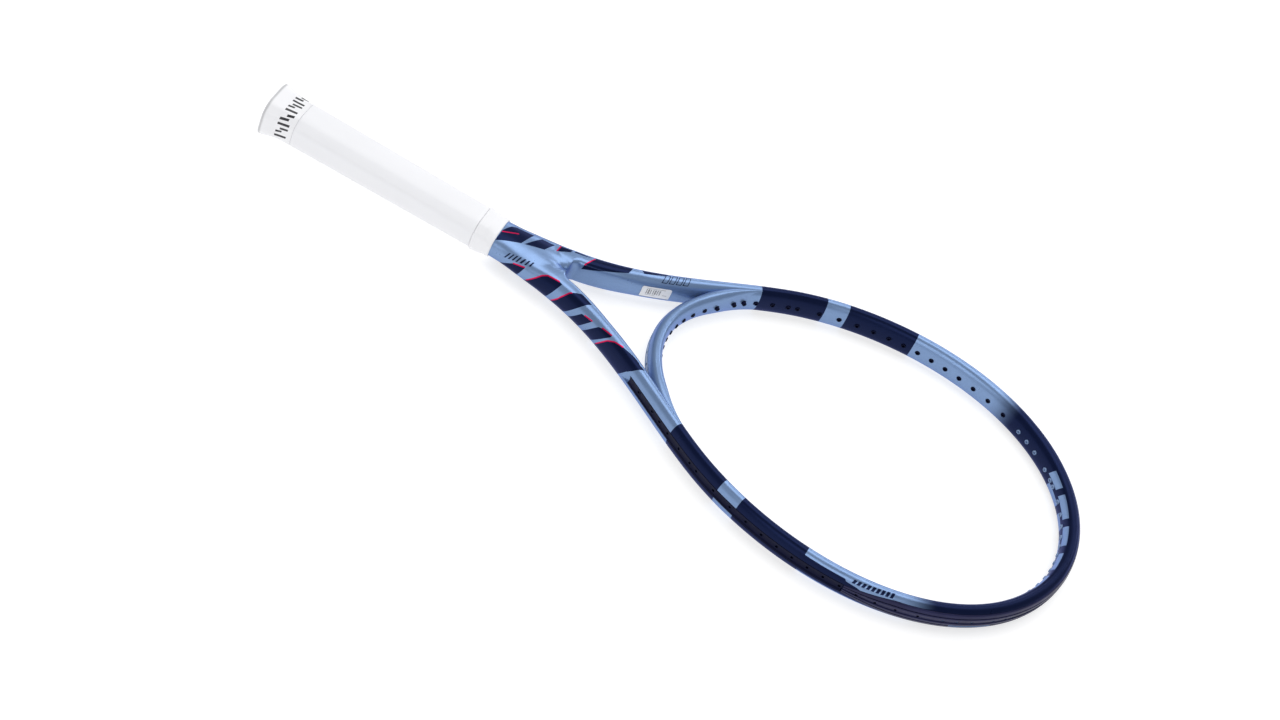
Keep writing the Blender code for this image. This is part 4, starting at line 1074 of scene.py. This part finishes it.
# (x, share of the plate's size) over the plate's edge and its shallow rings.
PLATE_STEPS = (
    (PLATE_DEPTH, 0.98), (PLATE_DEPTH - 0.2, 1.0), (0.25, 1.0), (0.06, 0.985), (0.0, 0.965), (0.0, 0.8),
    (0.12, 0.785), (0.4, 0.77), (0.4, 0.74), (0.12, 0.725), (0.0, 0.71), (0.0, 0.4), (0.15, 0.37),
    (0.3, 0.3),
)


def build_cap():
    y, z = CAP_PROFILE[0][1:]
    base = soft_octagon(0.0, y, z, 0.3)
    rings = [as_oval(base, x, PLATE_HALF_Y + more, PLATE_HALF_Z + more, even=True)
             for x, more in ((PLATE_DEPTH + GAP, GAP), (0.3, GAP), (0.0, GAP + 0.3))]
    rings.append(soft_octagon(0.0, y - 0.2, z - 0.2, 0.3))
    for x in CAP_RING_XS:
        rings.append(soft_octagon(x, glide(CAP_PROFILE, x), glide(CAP_PROFILE, x, 2),
                                  mix(0.3, 0.2, clamp01(x / 12))))
    x, y, z = CAP_PROFILE[-1]
    rings += [soft_octagon(x - back, y - less, z - less, 0.2)
              for back, less in ((0.0, 0.15), (0.0, 1.4), (2.2, 1.9))]
    cap = Body().loft(rings).made("butt_cap_shell", CAP_PLASTIC, sharp=50.0)
    (low, high), half = SLOT_DEPTHS, SLOT_HALF
    flat = [(low, -half), (high, -half), (high, half), (low, half)]
    slots = Body().loft([[(x, deep, along) for deep, along in flat] for x in SLOT_XS])
    slots.loft([[(x, along, 1.8 - deep) for deep, along in flat] for x in SLOT_XS])
    drill(cap, slots.made("cutter", CAP_PLASTIC))
    show(cap, "butt_cap")
    ring = as_oval(base, 0.0, 1.0, 1.0, even=True)
    plate = Body().loft([ring * (0, PLATE_HALF_Y * share, PLATE_HALF_Z * share) + (x, 0, 0)
                         for x, share in PLATE_STEPS])
    show(plate.made("butt_end_disc", CAP_PLASTIC), "butt_end_plate")


# (x, less than the octagon, share of the shaft's oval, more than the shaft) along the collar.
COLLAR_OUTER = ((180.9, -0.35, 0.0, 0.0), (181.2, -0.75, 0.0, 0.0), (181.9, -0.98, 0.0, 0.2),
                (183.2, -0.85, 0.0, 0.5), (187.9, -0.95, 0.1, 1.3), (191.9, -0.8, 0.55, 1.4),
                (195.0, -0.3, 0.92, 1.4), (196.6, 0.0, 1.0, 1.35), (197.0, 0.0, 1.0, 1.15),
                (197.2, 0.0, 1.0, 0.8))
COLLAR_INNER = ((COLLAR_END_X, 0.0, 1.0, 0.25), (194.0, 0.0, 1.0, 0.25),
                (COLLAR_START_X + 1.0, 0.9, 0.0, 0.0), (COLLAR_START_X, 0.5, 0.0, 0.0))


def collar_ring(x, less, share, more):
    ring = grip_ring(x, less)
    wide, high = glide(SHAFT_HALF_WIDTHS, x) + more, glide(SHAFT_HALF_HEIGHTS, x) + more
    return mix(ring, as_oval(ring, x, wide, high, SHAFT_POWER), share)


def build_collar():
    xs = sorted({round(float(x), 2) for x in np.linspace(COLLAR_START_X, COLLAR_END_X, 44)}
                | {row[0] for row in COLLAR_OUTER})
    rings = [collar_ring(x, *(glide(COLLAR_OUTER, x, c) for c in (1, 2, 3))) for x in xs]
    rings += [collar_ring(*row) for row in COLLAR_INNER]
    collar = Body().torus(rings).made("grip_collar_band", COLLAR_RUBBER, sharp=60.0)
    show(collar, "grip_collar")


# ---- what keeps its CAD shape ----

KEPT = (
    (PALLET_FOAM, ("handle_pallet_top", "handle_pallet_bottom", "leg_foam_plug_left",
                   "leg_foam_plug_right")),
    (STAPLE_STEEL, ("butt_cap_staple_left", "butt_cap_staple_under")),
    (WEIGHT_METAL, ("balance_weight",)),
    (TAPE_FILM, ("finishing_tape",)),
    (STICKER_PAPER, ("price_sticker",)),
)


def finish_kept():
    for look, names in KEPT:
        for name in names:
            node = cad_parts[name]
            node.data.materials.clear()
            node.data.materials.append(look)
    node.modifiers.new("weld", "WELD").merge_threshold = 1e-6
    bevel = node.modifiers.new("bevel", "BEVEL")
    bevel.width, bevel.segments, bevel.limit_method = 0.00006, 2, "ANGLE"


# ---- stage, lights and camera ----

CAMERA_LENS_MM = 68.22
CAMERA_AZIMUTH, CAMERA_ELEVATION, CAMERA_ROLL, CAMERA_DISTANCE = 4.0, 45.9, 27.1, 1.7783
CAMERA_AIM = Vector((0.3353, -0.0362, 0.0))
# The floor touches the underside of the cap's rim and of the tip, as (x, z).
CAP_UNDERSIDE = (0.0014, -0.01801)
TIP_UNDERSIDE = (0.679, -0.01135)
FLOOR_BELOW, FLOOR_HALF, FLOOR_POINTS, FLOOR_MIDDLE_X = 0.00004, 6.0, 25, 0.34


def floor_white():
    look = Look("studio_floor", specular_ior_level=0.1, emission_color=(1.0, 1.0, 1.0),
                emission_strength=0.66)
    white = look.brighten((0.5, 0.5, 0.503), look.drift(0.995, 1.005, 300.0, 2.0))
    return look.finished(white, look.drift(0.8, 0.9, 40.0, 2.0), look.noise(1.5), 0.01)


def build_stage():
    (first_x, first_z), (last_x, last_z) = CAP_UNDERSIDE, TIP_UNDERSIDE
    slope = (last_z - first_z) / (last_x - first_x)
    steps = np.linspace(-FLOOR_HALF, FLOOR_HALF, FLOOR_POINTS)
    points = [(x / MM, y / MM, (first_z - FLOOR_BELOW + slope * (x - first_x)) / MM)
              for y in steps for x in steps + FLOOR_MIDDLE_X]
    body = Body()
    body.add(points, [face for j in range(FLOOR_POINTS - 1)
                      for face in band(j, FLOOR_POINTS, FLOOR_POINTS - 1)])
    floor = body.made("studio_floor", floor_white())
    if floor.data.polygons[0].normal.z < 0:
        floor.data.flip_normals()


# (name, place, size, power) of each light.
LIGHTS = (
    ("overhead", (0.2, 0.5, 1.9), (2.4, 1.6), 26.5),
    ("front_fill", (0.6, -2.2, 1.0), (2.0, 1.2), 14.0),
    ("back_rim", (0.9, 2.0, 0.9), (2.4, 0.7), 14.0),
)
LIGHTS_AIM = Vector((0.35, 0.0, 0.0))
WORLD_LIGHT, WORLD_SEEN = 0.42, 0.95  # brightness as a light, and as the backdrop in the camera's view


def build_lights():
    for name, spot, size, power in LIGHTS:
        light = bpy.data.lights.new(name, "AREA")
        light.shape, light.size, light.size_y, light.energy = "RECTANGLE", *size, power
        holder = linked(name, light)
        holder.location = spot
        holder.rotation_euler = (LIGHTS_AIM - Vector(spot)).to_track_quat("-Z", "Y").to_euler()
    world = bpy.data.worlds.new("studio")
    bpy.context.scene.world = world
    world.use_nodes = True
    nodes, links = world.node_tree.nodes, world.node_tree.links
    background, seen = nodes["Background"].inputs, nodes.new("ShaderNodeMapRange")
    background["Color"].default_value = (0.97, 0.98, 1.0, 1.0)
    seen.inputs["To Min"].default_value, seen.inputs["To Max"].default_value = WORLD_LIGHT, WORLD_SEEN
    links.new(nodes.new("ShaderNodeLightPath").outputs["Is Camera Ray"], seen.inputs["Value"])
    links.new(seen.outputs["Result"], background["Strength"])
    view = bpy.context.scene.view_settings
    view.view_transform, view.look, view.exposure = "Standard", "None", 0.0


def build_camera():
    data = bpy.data.cameras.new("photo_camera")
    data.lens, data.sensor_width, data.sensor_fit = CAMERA_LENS_MM, 36.0, "HORIZONTAL"
    data.clip_start, data.clip_end = 0.01, 100.0
    camera = linked("photo_camera", data)
    camera.matrix_world = (Matrix.Translation(CAMERA_AIM)
                           @ Matrix.Rotation(math.radians(CAMERA_AZIMUTH), 4, "Z")
                           @ Matrix.Rotation(math.radians(90.0 - CAMERA_ELEVATION), 4, "X")
                           @ Matrix.Rotation(math.radians(CAMERA_ROLL), 4, "Z")
                           @ Matrix.Translation((0.0, 0.0, CAMERA_DISTANCE)))
    bpy.context.scene.camera = camera


build_camera()
build_shell()
build_bridge()
build_side_strips()
build_guard()
build_throat_strip()
build_grip()
build_cap()
build_collar()
finish_kept()
build_stage()
build_lights()

bpy.context.view_layer.update()
